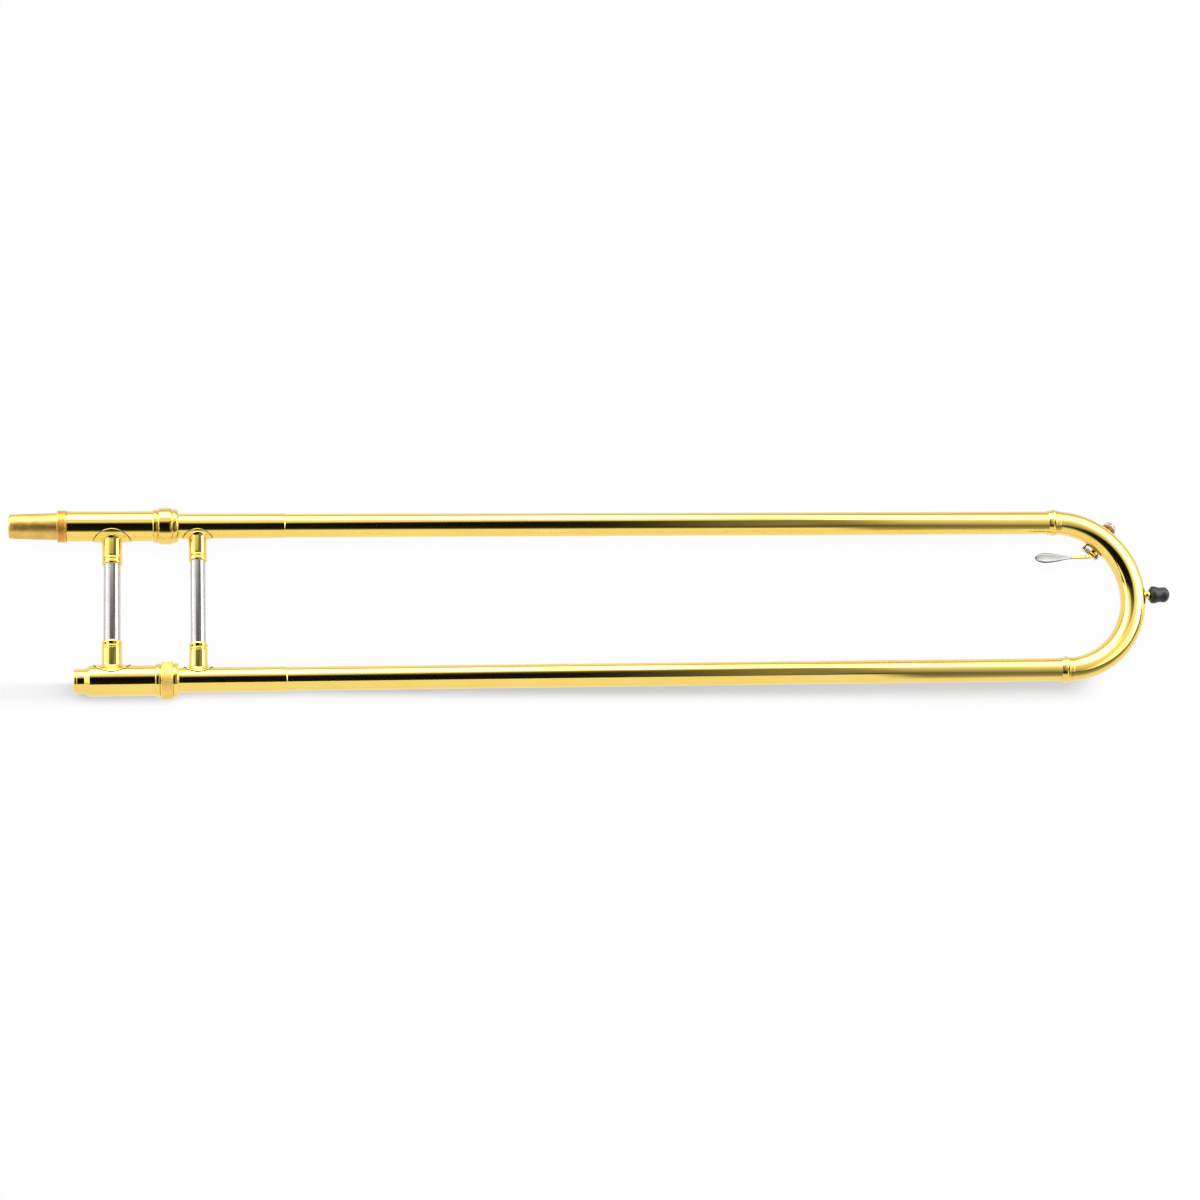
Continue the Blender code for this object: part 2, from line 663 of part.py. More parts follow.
def build_ferrule(name, origin):
    """A bead over the joint, then a thin collar over the first of the crook, which bends away there."""
    start = CROOK_CENTRE - FERRULE_BACKSET
    end = start + FERRULE_LENGTH
    step = start + FERRULE_BEAD_LENGTH
    over_tube = OUTER_TUBE_RADIUS + SEAT
    bent_away = CROOK_RADIUS - math.sqrt(CROOK_RADIUS ** 2 - (end - CROOK_CENTRE) ** 2)
    over_crook = bent_away + CROOK_END_RADIUS + 2 * SEAT
    collar = over_crook + FERRULE_WALL
    return turned(name, [
        (start, over_tube),
        *arc_profile(start, step, collar, FERRULE_RADIUS - collar, 6),
        (end, collar),
        (end, over_crook),
        (CROOK_CENTRE - 2 * LOOSE, over_crook),
        (CROOK_CENTRE - 2 * LOOSE, over_tube),
    ], along_x(origin), "lacquered_brass")


def crook_frame(angle):
    """The crook's centre line point at an angle from +X, with the tube's outward and upward directions."""
    outward = Vector((math.cos(angle), math.sin(angle), 0.0))
    centre = Vector((START_X + CROOK_CENTRE, 0.0, AXIS_Z)) + outward * CROOK_RADIUS
    return centre, outward


def crook_tube_radius(angle):
    return CROOK_END_RADIUS + CROOK_SWELL * math.cos(angle)


def crook_angles():
    """Even steps round the bend, the first and last one short, so that it leaves its ferrules nearly straight."""
    even = math.pi / 2 - CROOK_FIRST_STEP
    return [-math.pi / 2, *[even * (2 * i / CROOK_STEPS - 1) for i in range(CROOK_STEPS + 1)], math.pi / 2]


def crook_ring(angle, radius, back=0.0):
    centre, outward = crook_frame(angle)
    centre = centre + Vector((-back, 0.0, 0.0))
    return [centre + outward * c + Vector((0, 0, s)) for c, s in circle(radius, FACETS)]


def build_crook():
    stops = [(-math.pi / 2, LOOSE), *[(a, 0.0) for a in crook_angles()], (math.pi / 2, LOOSE)]
    outer = [crook_ring(a, crook_tube_radius(a), back) for a, back in stops]
    inner = [crook_ring(a, crook_tube_radius(a) - CROOK_WALL, back) for a, back in reversed(stops)]
    shell = lofted_mesh("crook", outer + inner, joined=True)
    crook = place(shell, "crook", Matrix.Identity(4), "lacquered_brass")
    low, high = 0.6 * KEY_TUBE_RADIUS, 1.4 * KEY_TUBE_RADIUS
    hole = turned_mesh("water_hole_cutter", [(low, 0.0), (low, WATER_HOLE_RADIUS), (high, WATER_HOLE_RADIUS),
                                             (high, 0.0)], 16)
    return combine(crook, place(hole, "water_hole_cutter", nipple_matrix()), 'DIFFERENCE')


def build_bumper_stud():
    """A ball soldered to the crook's end, with the stem that the rubber is pushed on."""
    face = CROOK_CENTRE + CROOK_RADIUS + crook_tube_radius(0.0) + SEAT
    ball = face + STUD_BALL_OFFSET
    first = math.pi - math.acos(STUD_BALL_OFFSET / STUD_BALL_RADIUS)
    last = math.asin(STUD_STEM_RADIUS / STUD_BALL_RADIUS)
    steps = 8
    sphere = []
    for i in range(steps + 1):
        a = first + (last - first) * i / steps
        sphere.append((ball + STUD_BALL_RADIUS * math.cos(a), STUD_BALL_RADIUS * math.sin(a)))
    stem_end = ball + STUD_STEM_LENGTH
    axis = Vector((START_X, 0.0, AXIS_Z))
    return turned("bumper_stud", [(face, 0.0), *sphere, (stem_end, STUD_STEM_RADIUS), (stem_end, 0.0)],
                  along_x(axis), "lacquered_brass", 24)


def build_rubber_bumper():
    ball = CROOK_CENTRE + CROOK_RADIUS + crook_tube_radius(0.0) + SEAT + STUD_BALL_OFFSET
    start = ball + 1.3 * MM
    end = start + BUMPER_LENGTH
    mouth = math.sqrt(STUD_BALL_RADIUS ** 2 - (start - ball) ** 2) + LOOSE
    bore = STUD_STEM_RADIUS + LOOSE
    floor = ball + STUD_STEM_LENGTH + LOOSE
    steps = 16
    outline = []
    for i in range(steps + 1):
        t = i / steps
        bulge = (BUMPER_RADIUS - BUMPER_WAIST_RADIUS) * math.exp(-((t - 0.2) / 0.2) ** 2)
        cap = math.sqrt(max(0.0, 1.0 - max(0.0, (t - 0.78) / 0.22) ** 2))
        lead = min(1.0, 0.74 + 2.6 * t)
        outline.append((start + BUMPER_LENGTH * t, (BUMPER_WAIST_RADIUS + bulge) * cap * lead))
    outline[-1] = (end, 0.0)
    axis = Vector((START_X, 0.0, AXIS_Z))
    return turned("rubber_bumper", [(floor, 0.0), (floor, bore), (ball + STUD_BALL_RADIUS + LOOSE, bore),
                                    (start, mouth), *outline], along_x(axis), "black_rubber", 24)


# Water key. Its local axes: X along the crook's tangent, Y inwards across the tube, Z up.


def key_matrix():
    """Local frame at the crook tube's centre, where the key sits."""
    centre, _ = crook_frame(KEY_ANGLE)
    return Matrix.Translation(centre) @ Matrix.Rotation(KEY_ANGLE + math.pi / 2, 4, 'Z')


def hinge_matrix():
    return key_matrix() @ Matrix.Translation((0.0, HINGE_INSET, -HINGE_DROP))


def nipple_matrix():
    """Local X points out of the tube along the nipple, outwards and a little down."""
    outward = Vector((0.0, -math.cos(NIPPLE_DROP), -math.sin(NIPPLE_DROP)))
    side = Vector((1.0, 0.0, 0.0))
    third = outward.cross(side)
    basis = Matrix((outward, side, third)).transposed().to_4x4()
    return key_matrix() @ basis


def tube_cutter(name, clearance):
    """The stretch of the crook's tube where the key sits, with the same facets, grown by a clearance."""
    angles = [a for a in crook_angles() if abs(a - KEY_ANGLE) < math.radians(28)]
    rings = [crook_ring(a, crook_tube_radius(a) + clearance) for a in angles]
    return place(lofted_mesh(name, rings), name, Matrix.Identity(4))


def build_nipple():
    tip = KEY_TUBE_RADIUS + NIPPLE_HEIGHT
    base = 0.75 * KEY_TUBE_RADIUS
    nipple = turned("water_key_nipple", [
        (base, WATER_HOLE_RADIUS),
        (base, NIPPLE_RADIUS + 0.5 * MM),
        (KEY_TUBE_RADIUS + 0.2 * MM, NIPPLE_RADIUS + 0.5 * MM),
        (KEY_TUBE_RADIUS + 0.7 * MM, NIPPLE_RADIUS - 0.3 * MM),
        (tip - 0.5 * MM, NIPPLE_RADIUS - 0.3 * MM),
        (tip, NIPPLE_RADIUS),
        (tip, WATER_HOLE_RADIUS),
    ], nipple_matrix(), "lacquered_brass", 24)
    return combine(nipple, tube_cutter("nipple_base_cutter", 1.5 * SEAT), 'DIFFERENCE')


def build_key_cork():
    face = KEY_TUBE_RADIUS + NIPPLE_HEIGHT + LOOSE
    end = face + KEY_CORK_LENGTH
    edge = 0.4 * MM
    return turned("water_key_cork", [(face, 0.0), (face, KEY_CORK_RADIUS - edge), (face + edge, KEY_CORK_RADIUS),
                                     (end, KEY_CORK_RADIUS), (end, 0.0)], nipple_matrix(), "cork", 24)


def build_key_cup():
    """A deep cup with a domed back. Its rim overlaps the cork that is glued into it."""
    floor = KEY_TUBE_RADIUS + NIPPLE_HEIGHT + LOOSE + KEY_CORK_LENGTH + SEAT
    front = floor - KEY_CUP_OVERLAP
    shoulder = floor + KEY_CUP_WALL_LENGTH
    inside = KEY_CORK_RADIUS + SEAT
    dome = [(shoulder + KEY_CUP_DOME * math.sin(a), KEY_CUP_RADIUS * (0.45 + 0.55 * math.cos(a)))
            for a in (math.radians(d) for d in (90, 68, 45, 22))]
    back = shoulder + KEY_CUP_DOME
    return turned("water_key_cup", [(back, 0.0), *dome, (shoulder, KEY_CUP_RADIUS), (front, KEY_CUP_RADIUS),
                                    (front, inside), (floor, inside), (floor, 0.0)], nipple_matrix(),
                  "nickel_silver", 24)


def build_saddle():
    """A plate on the crook's inner side with two ears for the hinge pin."""
    reach = math.hypot(HINGE_INSET, HINGE_DROP)
    tilt = math.atan2(-HINGE_DROP, HINGE_INSET)
    across = key_matrix() @ Matrix.Rotation(tilt, 4, 'X')
    half = EAR_SPACING / 2 + EAR_THICKNESS / 2
    plate = box_mesh("water_key_saddle", (-half, 0.6 * KEY_TUBE_RADIUS, -SADDLE_HALF_WIDTH),
                     (half, KEY_TUBE_RADIUS + SADDLE_THICKNESS, SADDLE_HALF_WIDTH))
    saddle = place(plate, "water_key_saddle", across, "lacquered_brass")
    for i, side in enumerate((-1, 1)):
        middle = side * EAR_SPACING / 2
        low, high = middle - EAR_THICKNESS / 2, middle + EAR_THICKNESS / 2
        inset = 0.01 * MM * (i + 1)
        block = box_mesh(f"ear_block_{i}", (low - inset, 0.7 * KEY_TUBE_RADIUS, -EAR_RADIUS),
                         (high + inset, reach, EAR_RADIUS))
        combine(saddle, place(block, f"ear_block_{i}", across), 'UNION')
        near, far_face, round_radius = low - 2 * inset, high + 2 * inset, EAR_RADIUS + inset
        disc = turned_mesh(f"ear_round_{i}", [(near, 0.0), (near, round_radius), (far_face, round_radius),
                                              (far_face, 0.0)], 24)
        combine(saddle, place(disc, f"ear_round_{i}", hinge_matrix()), 'UNION')
    bore = PIN_RADIUS + SEAT
    far = EAR_SPACING
    hole = turned_mesh("ear_hole_cutter", [(-far, 0.0), (-far, bore), (far, bore), (far, 0.0)], 16)
    combine(saddle, place(hole, "ear_hole_cutter", hinge_matrix()), 'DIFFERENCE')
    return combine(saddle, tube_cutter("saddle_seat_cutter", 1.5 * SEAT), 'DIFFERENCE')


def build_pin():
    outside = EAR_SPACING / 2 + EAR_THICKNESS / 2 + SEAT
    head_end = -outside - PIN_HEAD_LENGTH
    pin = turned("water_key_pin", [(head_end, 0.0), (head_end, PIN_HEAD_RADIUS - 0.3 * MM),
                                   (head_end + 0.3 * MM, PIN_HEAD_RADIUS), (-outside, PIN_HEAD_RADIUS),
                                   (-outside, PIN_RADIUS), (outside + 0.6 * MM, PIN_RADIUS),
                                   (outside + 0.6 * MM, 0.0)], hinge_matrix(), "nickel_silver", 16)
    slot = box_mesh("pin_slot_cutter", (head_end - 0.5 * MM, -2 * PIN_HEAD_RADIUS, -0.2 * MM),
                    (head_end + 0.5 * MM, 2 * PIN_HEAD_RADIUS, 0.2 * MM))
    return combine(pin, place(slot, "pin_slot_cutter", hinge_matrix()), 'DIFFERENCE')


def bar_rings(path, half_widths, half_thickness, width_axis):
    """Rings of a flat bar with bevelled corners along a path. width_axis is the bar's wide direction."""
    rings = []
    for i, point in enumerate(path):
        before, after = path[max(i - 1, 0)], path[min(i + 1, len(path) - 1)]
        forward = (after - before).normalized()
        wide = (width_axis - forward * width_axis.dot(forward)).normalized()
        thick = forward.cross(wide)
        w, h, c = half_widths[i], half_thickness, 0.35 * half_thickness
        corners = [(w, h - c), (w - c, h), (-w + c, h), (-w, h - c), (-w, -h + c), (-w + c, -h), (w - c, -h),
                   (w, -h + c)]
        rings.append([point + wide * a + thick * b for a, b in corners])
    return rings


def touch_direction():
    return Vector((math.cos(TOUCH_ANGLE), math.sin(TOUCH_ANGLE), 0.0))


def cup_arm_path():
    """From the hinge barrel, round under the crook's tube, to the cup's lower side. In hinge axes."""
    centre = Vector((0.0, -HINGE_INSET, HINGE_DROP))
    radius = KEY_TUBE_RADIUS + CUP_ARM_CLEARANCE + CUP_ARM_HALF_THICKNESS
    around = [(-38, 1.3 * MM), (-52, 0.3 * MM), (-66, 0.0), (-80, 0.0), (-94, 0.0)]
    path = [Vector((0.0, -0.3 * MM, -1.1 * MM))]
    for degrees, more in around:
        a = math.radians(degrees)
        path.append(centre + (radius + more) * Vector((0.0, math.cos(a), math.sin(a))))
    out = Vector((0.0, -math.cos(NIPPLE_DROP), -math.sin(NIPPLE_DROP)))
    across = Vector((0.0, -math.sin(NIPPLE_DROP), math.cos(NIPPLE_DROP)))
    face = KEY_TUBE_RADIUS + NIPPLE_HEIGHT + LOOSE
    path.append(centre + out * face - across * (KEY_CUP_RADIUS + 1.5 * CUP_ARM_HALF_THICKNESS))
    path.append(centre + out * (face + 3.4 * MM) - across * (KEY_CUP_RADIUS - LOOSE))
    for i, point in enumerate(path):
        point.x = HINGE_BARREL_MIDDLE * (1 - i / (len(path) - 1))
    return path


def build_lever():
    bore = PIN_RADIUS + PIN_CLEARANCE
    start, end = HINGE_BARREL_START, HINGE_BARREL_START + HINGE_BARREL_LENGTH
    lever = turned("water_key_lever", [(start, bore), (start, HINGE_BARREL_RADIUS), (end, HINGE_BARREL_RADIUS),
                                       (end, bore)], hinge_matrix(), "lacquered_brass", 24)
    up = Vector((0, 0, 1))
    side = touch_direction().cross(up)
    path = [TOUCH_ROOT + touch_direction() * d for d in
            (0.7 * HINGE_BARREL_RADIUS, 0.4 * TOUCH_ARM_LENGTH, TOUCH_ARM_LENGTH - SEAT)]
    widths = [TOUCH_ARM_HALF_WIDTH, TOUCH_ARM_HALF_WIDTH, TOUCH_NECK_HALF_WIDTH]
    arm = lofted_mesh("touch_arm_shape", bar_rings(path, widths, TOUCH_ARM_HALF_THICKNESS, side))
    combine(lever, place(arm, "touch_arm_shape", hinge_matrix()), 'UNION')
    path = cup_arm_path()
    rings = bar_rings(path, [CUP_ARM_HALF_WIDTH] * len(path), CUP_ARM_HALF_THICKNESS, Vector((1, 0, 0)))
    cup_arm = place(lofted_mesh("cup_arm_shape", rings), "cup_arm_shape", hinge_matrix())
    combine(lever, cup_arm, 'UNION')
    far = KEY_TUBE_RADIUS + NIPPLE_HEIGHT
    wide = KEY_CUP_RADIUS + SEAT
    room = turned_mesh("lever_cup_cutter", [(far, 0.0), (far, wide), (2 * far, wide), (2 * far, 0.0)], 24)
    combine(lever, place(room, "lever_cup_cutter", nipple_matrix()), 'DIFFERENCE')
    hole = turned_mesh("lever_hole_cutter", [(-EAR_SPACING, 0.0), (-EAR_SPACING, bore + 0.01 * MM),
                                             (EAR_SPACING, bore + 0.01 * MM), (EAR_SPACING, 0.0)], 24)
    return combine(lever, place(hole, "lever_hole_cutter", hinge_matrix()), 'DIFFERENCE')


def build_touch():
    """A spoon-shaped plate: narrow at the arm, widest near its round free end."""
    up = Vector((0, 0, 1))
    side = touch_direction().cross(up)
    steps = 14
    rings = []
    for i in range(steps + 1):
        t = 0.985 * i / steps
        round_end = math.sqrt(1.0 - max(0.0, (t - 0.72) / 0.28) ** 2)
        widen = 0.5 - 0.5 * math.cos(math.pi * min(1.0, t / 0.72))
        half = (TOUCH_NECK_HALF_WIDTH + (TOUCH_HALF_WIDTH - TOUCH_NECK_HALF_WIDTH) * widen) * round_end
        middle = TOUCH_ROOT + touch_direction() * (TOUCH_ARM_LENGTH + SEAT + TOUCH_LENGTH * t)
        h = TOUCH_THICKNESS / 2
        outline = ((1, 0.3), (0.8, 1), (-0.8, 1), (-1, 0.3), (-1, -0.3), (-0.8, -1), (0.8, -1), (1, -0.3))
        rings.append([middle + side * a * half + up * b * h for a, b in outline])
    return place(lofted_mesh("water_key_touch", rings), "water_key_touch", hinge_matrix(), "nickel_silver")


def spring_points():
    """One wire: a leg over the touch arm, the curls round the pin, and a leg down to the saddle."""
    start = HINGE_BARREL_START + HINGE_BARREL_LENGTH + LOOSE + SPRING_WIRE_RADIUS
    coil = SPRING_COIL_RADIUS
    over = TOUCH_ARM_HALF_THICKNESS + 0.2 * MM + SPRING_WIRE_RADIUS + 0.3 * MM
    lead = [Vector((start, coil + 3.3 * MM, over)), Vector((start, coil + 0.9 * MM, over)),
            Vector((start, coil, 0.75 * over))]
    curls = []
    total = SPRING_CURLS * SPRING_POINTS_PER_CURL
    for i in range(total + 1):
        a = math.tau * i / SPRING_POINTS_PER_CURL
        curls.append(Vector((start + SPRING_PITCH * i / SPRING_POINTS_PER_CURL, coil * math.cos(a),
                             -coil * math.sin(a))))
    end = curls[-1].x
    tail = [Vector((end, coil, -1.3 * MM)), Vector((end, 0.5 * coil, -2.3 * MM)),
            Vector((end, -0.3 * coil, -2.7 * MM)), Vector((end, -1.1 * coil, -2.6 * MM))]
    return lead + curls + tail


def least_self_gap(points, wire_radius, skip):
    """The closest that the wire comes to itself, between points that are not neighbours along it."""
    least = math.inf
    for i, a in enumerate(points):
        for b in points[i + skip:]:
            least = min(least, (a - b).length - 2 * wire_radius)
    return least


def build_spring():
    points = spring_points()
    gap = least_self_gap(points, SPRING_WIRE_RADIUS, SPRING_POINTS_PER_CURL // 2 + 2)
    print(f"water_key_spring: least gap to itself {gap / MM:.2f} mm")
    assert gap > SPRING_LEAST_GAP
    curve = bpy.data.curves.new("water_key_spring", 'CURVE')
    curve.dimensions = '3D'
    curve.bevel_depth = SPRING_WIRE_RADIUS
    curve.bevel_resolution = 1
    curve.use_fill_caps = True
    spline = curve.splines.new('POLY')
    spline.points.add(len(points) - 1)
    for target, point in zip(spline.points, points):
        target.co = (*point, 1.0)
    obj = bpy.data.objects.new("water_key_spring", curve)
    bpy.context.collection.objects.link(obj)
    obj.matrix_world = hinge_matrix()
    curve.materials.append(make_material("water_key_spring", *FINISHES["nickel_silver"]))
    return obj


def build_inner_slide():
    build_bell_tenon()
    build_tenon_collar()
    build_upper_barrel()
    build_upper_barrel_ring()
    build_lower_barrel()
    build_lower_bead()
    build_lock_retainer()
    build_receiver()
    build_leadpipe()
    build_inner_tube("upper_inner_tube", UPPER_TUBE_START, UPPER)
    build_inner_tube("lower_inner_tube", LOWER_TUBE_START, LOWER)
    build_cushions("upper", UPPER)
    build_cushions("lower", LOWER)
    build_brace("inner_brace", INNER_BRACE_STATION, BARREL_RADIUS, INNER_BRACE_RADIUS, INNER_FLANGE_RADIUS,
                INNER_SOCKET_REACH)


def build_outer_slide():
    frame = group_frame("outer_slide_frame", (START_X + BARREL_END, 0.0, AXIS_Z))
    carry(frame, [
        build_end_ring("upper_end_ring", UPPER),
        build_lower_end_ring(),
        build_sleeve("upper_grip_sleeve", UPPER),
        build_sleeve("lower_grip_sleeve", LOWER),
        build_outer_tube("upper_outer_tube", UPPER),
        build_outer_tube("lower_outer_tube", LOWER),
        build_ferrule("upper_ferrule", UPPER),
        build_ferrule("lower_ferrule", LOWER),
        *build_brace("outer_brace", OUTER_BRACE_STATION, SLEEVE_RADIUS, OUTER_BRACE_RADIUS, OUTER_FLANGE_RADIUS,
                     OUTER_SOCKET_REACH),
        build_crook(),
        build_bumper_stud(),
        build_rubber_bumper(),
        build_nipple(),
        build_saddle(),
        build_pin(),
        build_spring(),
    ])
    return frame


def build_water_key(slide_frame):
    frame = bpy.data.objects.new("water_key_frame", None)
    bpy.context.collection.objects.link(frame)
    frame.matrix_world = hinge_matrix()
    carry(frame, [build_lever(), build_touch(), build_key_cup(), build_key_cork()])
    carry(slide_frame, [frame])


def main():
    clear_scene()
    build_inner_slide()
    slide_frame = build_outer_slide()
    build_water_key(slide_frame)
    build_lock_ring()


main()
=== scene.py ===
import math

import bpy
import numpy as np
from mathutils import Matrix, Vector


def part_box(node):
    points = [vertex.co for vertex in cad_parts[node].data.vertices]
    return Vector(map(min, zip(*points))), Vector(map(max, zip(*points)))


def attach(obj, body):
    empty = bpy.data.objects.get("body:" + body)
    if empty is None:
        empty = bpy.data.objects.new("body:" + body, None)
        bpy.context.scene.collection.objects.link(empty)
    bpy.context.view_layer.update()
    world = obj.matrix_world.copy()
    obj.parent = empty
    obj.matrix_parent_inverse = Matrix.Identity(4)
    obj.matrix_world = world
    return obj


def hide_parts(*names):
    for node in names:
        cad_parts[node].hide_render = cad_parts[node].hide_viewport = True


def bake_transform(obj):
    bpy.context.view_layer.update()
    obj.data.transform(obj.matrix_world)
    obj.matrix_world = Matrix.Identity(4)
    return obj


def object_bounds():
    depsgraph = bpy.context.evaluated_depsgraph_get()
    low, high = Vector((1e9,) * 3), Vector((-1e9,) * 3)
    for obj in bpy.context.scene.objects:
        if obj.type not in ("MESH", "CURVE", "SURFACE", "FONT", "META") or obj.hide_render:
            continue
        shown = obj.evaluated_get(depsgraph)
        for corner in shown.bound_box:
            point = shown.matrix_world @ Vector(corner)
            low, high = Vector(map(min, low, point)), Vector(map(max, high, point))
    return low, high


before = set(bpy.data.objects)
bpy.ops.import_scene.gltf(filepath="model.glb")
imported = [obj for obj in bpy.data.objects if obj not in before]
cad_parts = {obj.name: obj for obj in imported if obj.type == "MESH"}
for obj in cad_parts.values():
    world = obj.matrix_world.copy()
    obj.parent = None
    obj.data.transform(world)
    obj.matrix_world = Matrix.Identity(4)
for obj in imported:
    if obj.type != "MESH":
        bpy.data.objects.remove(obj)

cad_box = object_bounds()

# The camera.
# It looks down on the slide from a little on the player's side, tipped slightly to the right.
# Lengths are millimetres from the tip of the bell tenon until MM turns them into metres.
MM = 0.001
TIP_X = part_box("bell_tenon")[0].x
TUBE_Z = sum(corner.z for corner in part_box("upper_outer_tube")) / 2
TUBE_Y = sum(corner.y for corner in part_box("upper_outer_tube")) / 2

CAMERA_PLACE = (130.09, -451.32, 1711.90)
CAMERA_RIGHT = (0.98931757, -0.04473981, 0.13874112)
CAMERA_UP = (0.00785090, 0.96671038, 0.25575262)
CAMERA_BACK = (-0.14556481, -0.25193132, 0.95673481)

camera_data = bpy.data.cameras.new("camera")
camera_data.lens = 79.62
camera_data.sensor_width = 36.0
camera_data.clip_start = 0.05
camera_data.clip_end = 30.0
camera = bpy.data.objects.new("camera", camera_data)
bpy.context.scene.collection.objects.link(camera)
turn = Matrix((CAMERA_RIGHT, CAMERA_UP, CAMERA_BACK)).transposed().to_4x4()
place = Matrix.Translation(np.array((TIP_X, 0.0, TUBE_Z)) + MM * np.array(CAMERA_PLACE))
camera.matrix_world = place @ turn
bpy.context.scene.camera = camera


# Bell tenon and its collar.
# A tapered tube of bare brass that plugs into the bell section, lathe turned and dulled by handling.
# The collar behind it is screw cut for the bell's lock nut and soldered on.
UPPER = np.array((TIP_X, TUBE_Y, TUBE_Z))
LOWER = np.array((TIP_X, -TUBE_Y, TUBE_Z))
BORE = 6.95


def eased(corners, closed=True):
    """A profile with its corners rounded.

    corners are (station, radius, ease) rows. Each corner gives way to a parabola that starts and ends
    ease away from it along its two sides, (1-t)^2 a + 2 t (1-t) corner + t^2 b, and one more point on
    each side holds the straight part flat. An open profile keeps its two end points.
    """
    rows = np.asarray(corners, float)
    corner, ease = rows[:, :2], rows[:, 2:]
    back = np.roll(corner, 1, axis=0) - corner
    ahead = np.roll(corner, -1, axis=0) - corner
    back_length = np.linalg.norm(back, axis=1, keepdims=True) + 1e-12
    ahead_length = np.linalg.norm(ahead, axis=1, keepdims=True) + 1e-12
    a = corner + back / back_length * np.minimum(ease, 0.4 * back_length)
    b = corner + ahead / ahead_length * np.minimum(ease, 0.4 * ahead_length)
    far_a = corner + back / back_length * np.minimum(2 * ease + 0.02, 0.47 * back_length)
    far_b = corner + ahead / ahead_length * np.minimum(2 * ease + 0.02, 0.47 * ahead_length)
    t = np.linspace(0.0, 1.0, 5)[None, :, None]
    curve = (1 - t) ** 2 * a[:, None] + 2 * t * (1 - t) * corner[:, None] + t ** 2 * b[:, None]
    points = np.concatenate([far_a[:, None], curve, far_b[:, None]], axis=1)
    if closed:
        return points.reshape(-1, 2)
    return np.vstack([corner[:1], points[1:-1].reshape(-1, 2), corner[-1:]])


def turned(profile, origin, axis=(1.0, 0.0, 0.0), columns=128):
    """A profile of (station, radius) rows spun round an axis.

    point(i, j) = origin + station_i axis + radius_i (cos a_j side + sin a_j third)
    """
    axis = np.asarray(axis, float) / np.linalg.norm(axis)
    side = np.cross(axis, (0.0, 0.0, 1.0))
    side = side / np.linalg.norm(side)
    third = np.cross(side, axis)
    angle = 2 * np.pi * np.arange(columns) / columns
    spokes = np.cos(angle)[:, None] * side + np.sin(angle)[:, None] * third
    stations = profile[:, 0][:, None, None] * MM * axis
    return np.asarray(origin) + stations + profile[:, 1][:, None, None] * MM * spokes


def skin(grid, ring=True):
    """The points and faces of a grid that closes on itself.

    Each face joins four neighbours, wrapping round the columns and, for a ring, round the rows. A row
    that has shrunk to a point counts as one point, so its faces are triangles. The sign of the volume,
    a sixth of the sum of v0 . (v1 x v2), says whether the faces point outwards; if not, they are turned.
    """
    rows, columns = grid.shape[:2]
    index = np.arange(rows * columns).reshape(rows, columns)
    shrunk = np.ptp(grid, axis=1).max(axis=1) < 1e-9
    index[shrunk] = index[shrunk][:, :1]
    low = index if ring else index[:-1]
    high = np.roll(index, -1, axis=0) if ring else index[1:]
    around = [low, np.roll(low, -1, axis=1), np.roll(high, -1, axis=1), high]
    faces = np.stack(around, axis=-1).reshape(-1, 4)
    points = grid.reshape(-1, 3)
    a, b, c, d = (points[faces[:, corner]] for corner in range(4))
    volume = np.einsum("ij,ij->", a, np.cross(b, c)) + np.einsum("ij,ij->", a, np.cross(c, d))
    if volume < 0:
        faces = faces[:, ::-1]
    return points, faces


def piece(name, finish, body, *skins, modifiers=(), tarnish_and_painted_shade=None):
    """One object, NAME_skin, made of one or more closed skins. It stands for the CAD node of that name.

    Body is the body it rides on. A piece that bends from one body to the other is given two bodies and the
    points between which it bends instead; these are not used, and the piece stays where it is made. The
    darkening mark, where it is given, is a number from 0 to 1 for each point of the skins; it paints shade.
    """
    points = np.concatenate([part[0] for part in skins])
    starts = np.cumsum([0] + [len(part[0]) for part in skins[:-1]])
    faces = np.concatenate([part[1] + start for part, start in zip(skins, starts)])
    used, packed = np.unique(faces, return_inverse=True)
    packed = packed.reshape(-1, 4)
    same = packed == np.roll(packed, -1, axis=1)
    lists = [packed[~same.any(axis=1)].tolist()]
    for corner in range(4):
        keep = [k for k in range(4) if k != corner]
        lists.append(packed[same[:, corner]][:, keep].tolist())
    mesh = bpy.data.meshes.new(name + "_skin")
    mesh.from_pydata(points[used].tolist(), [], sum(lists, []))
    mesh.shade_smooth()
    mesh.materials.append(finish)
    # The darkening mark paints shade into the colour of the pieces that take it.
    if tarnish_and_painted_shade is not None:
        mesh.attributes.new("tarnish_and_painted_shade", "FLOAT", "POINT").data.foreach_set("value", np.ravel(tarnish_and_painted_shade)[used])
    made = bpy.data.objects.new(name + "_skin", mesh)
    bpy.context.scene.collection.objects.link(made)
    for kind, settings in modifiers:
        modifier = made.modifiers.new(kind.lower(), kind)
        for key, value in settings.items():
            setattr(modifier, key, value)
    if isinstance(body, str):
        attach(made, body)
    else:
        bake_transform(made)
    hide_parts(name)
    return made


def turned_piece(name, finish, body, corners, origin, axis=(1.0, 0.0, 0.0), columns=128):
    """A lathe-turned piece: a ring of (station, radius, ease) corners, rounded and spun."""
    return piece(name, finish, body, skin(turned(eased(corners), origin, axis, columns)))


def new_finish(name, levels):
    """A material with its even levels set: its node tree, its shader, and the object's own coordinates."""
    material = bpy.data.materials.new(name)
    material.use_nodes = True
    tree = material.node_tree
    shader = tree.nodes["Principled BSDF"]
    for key, level in levels.items():
        shader.inputs[key].default_value = level
    return material, tree, shader, tree.nodes.new("ShaderNodeTexCoord").outputs["Object"]


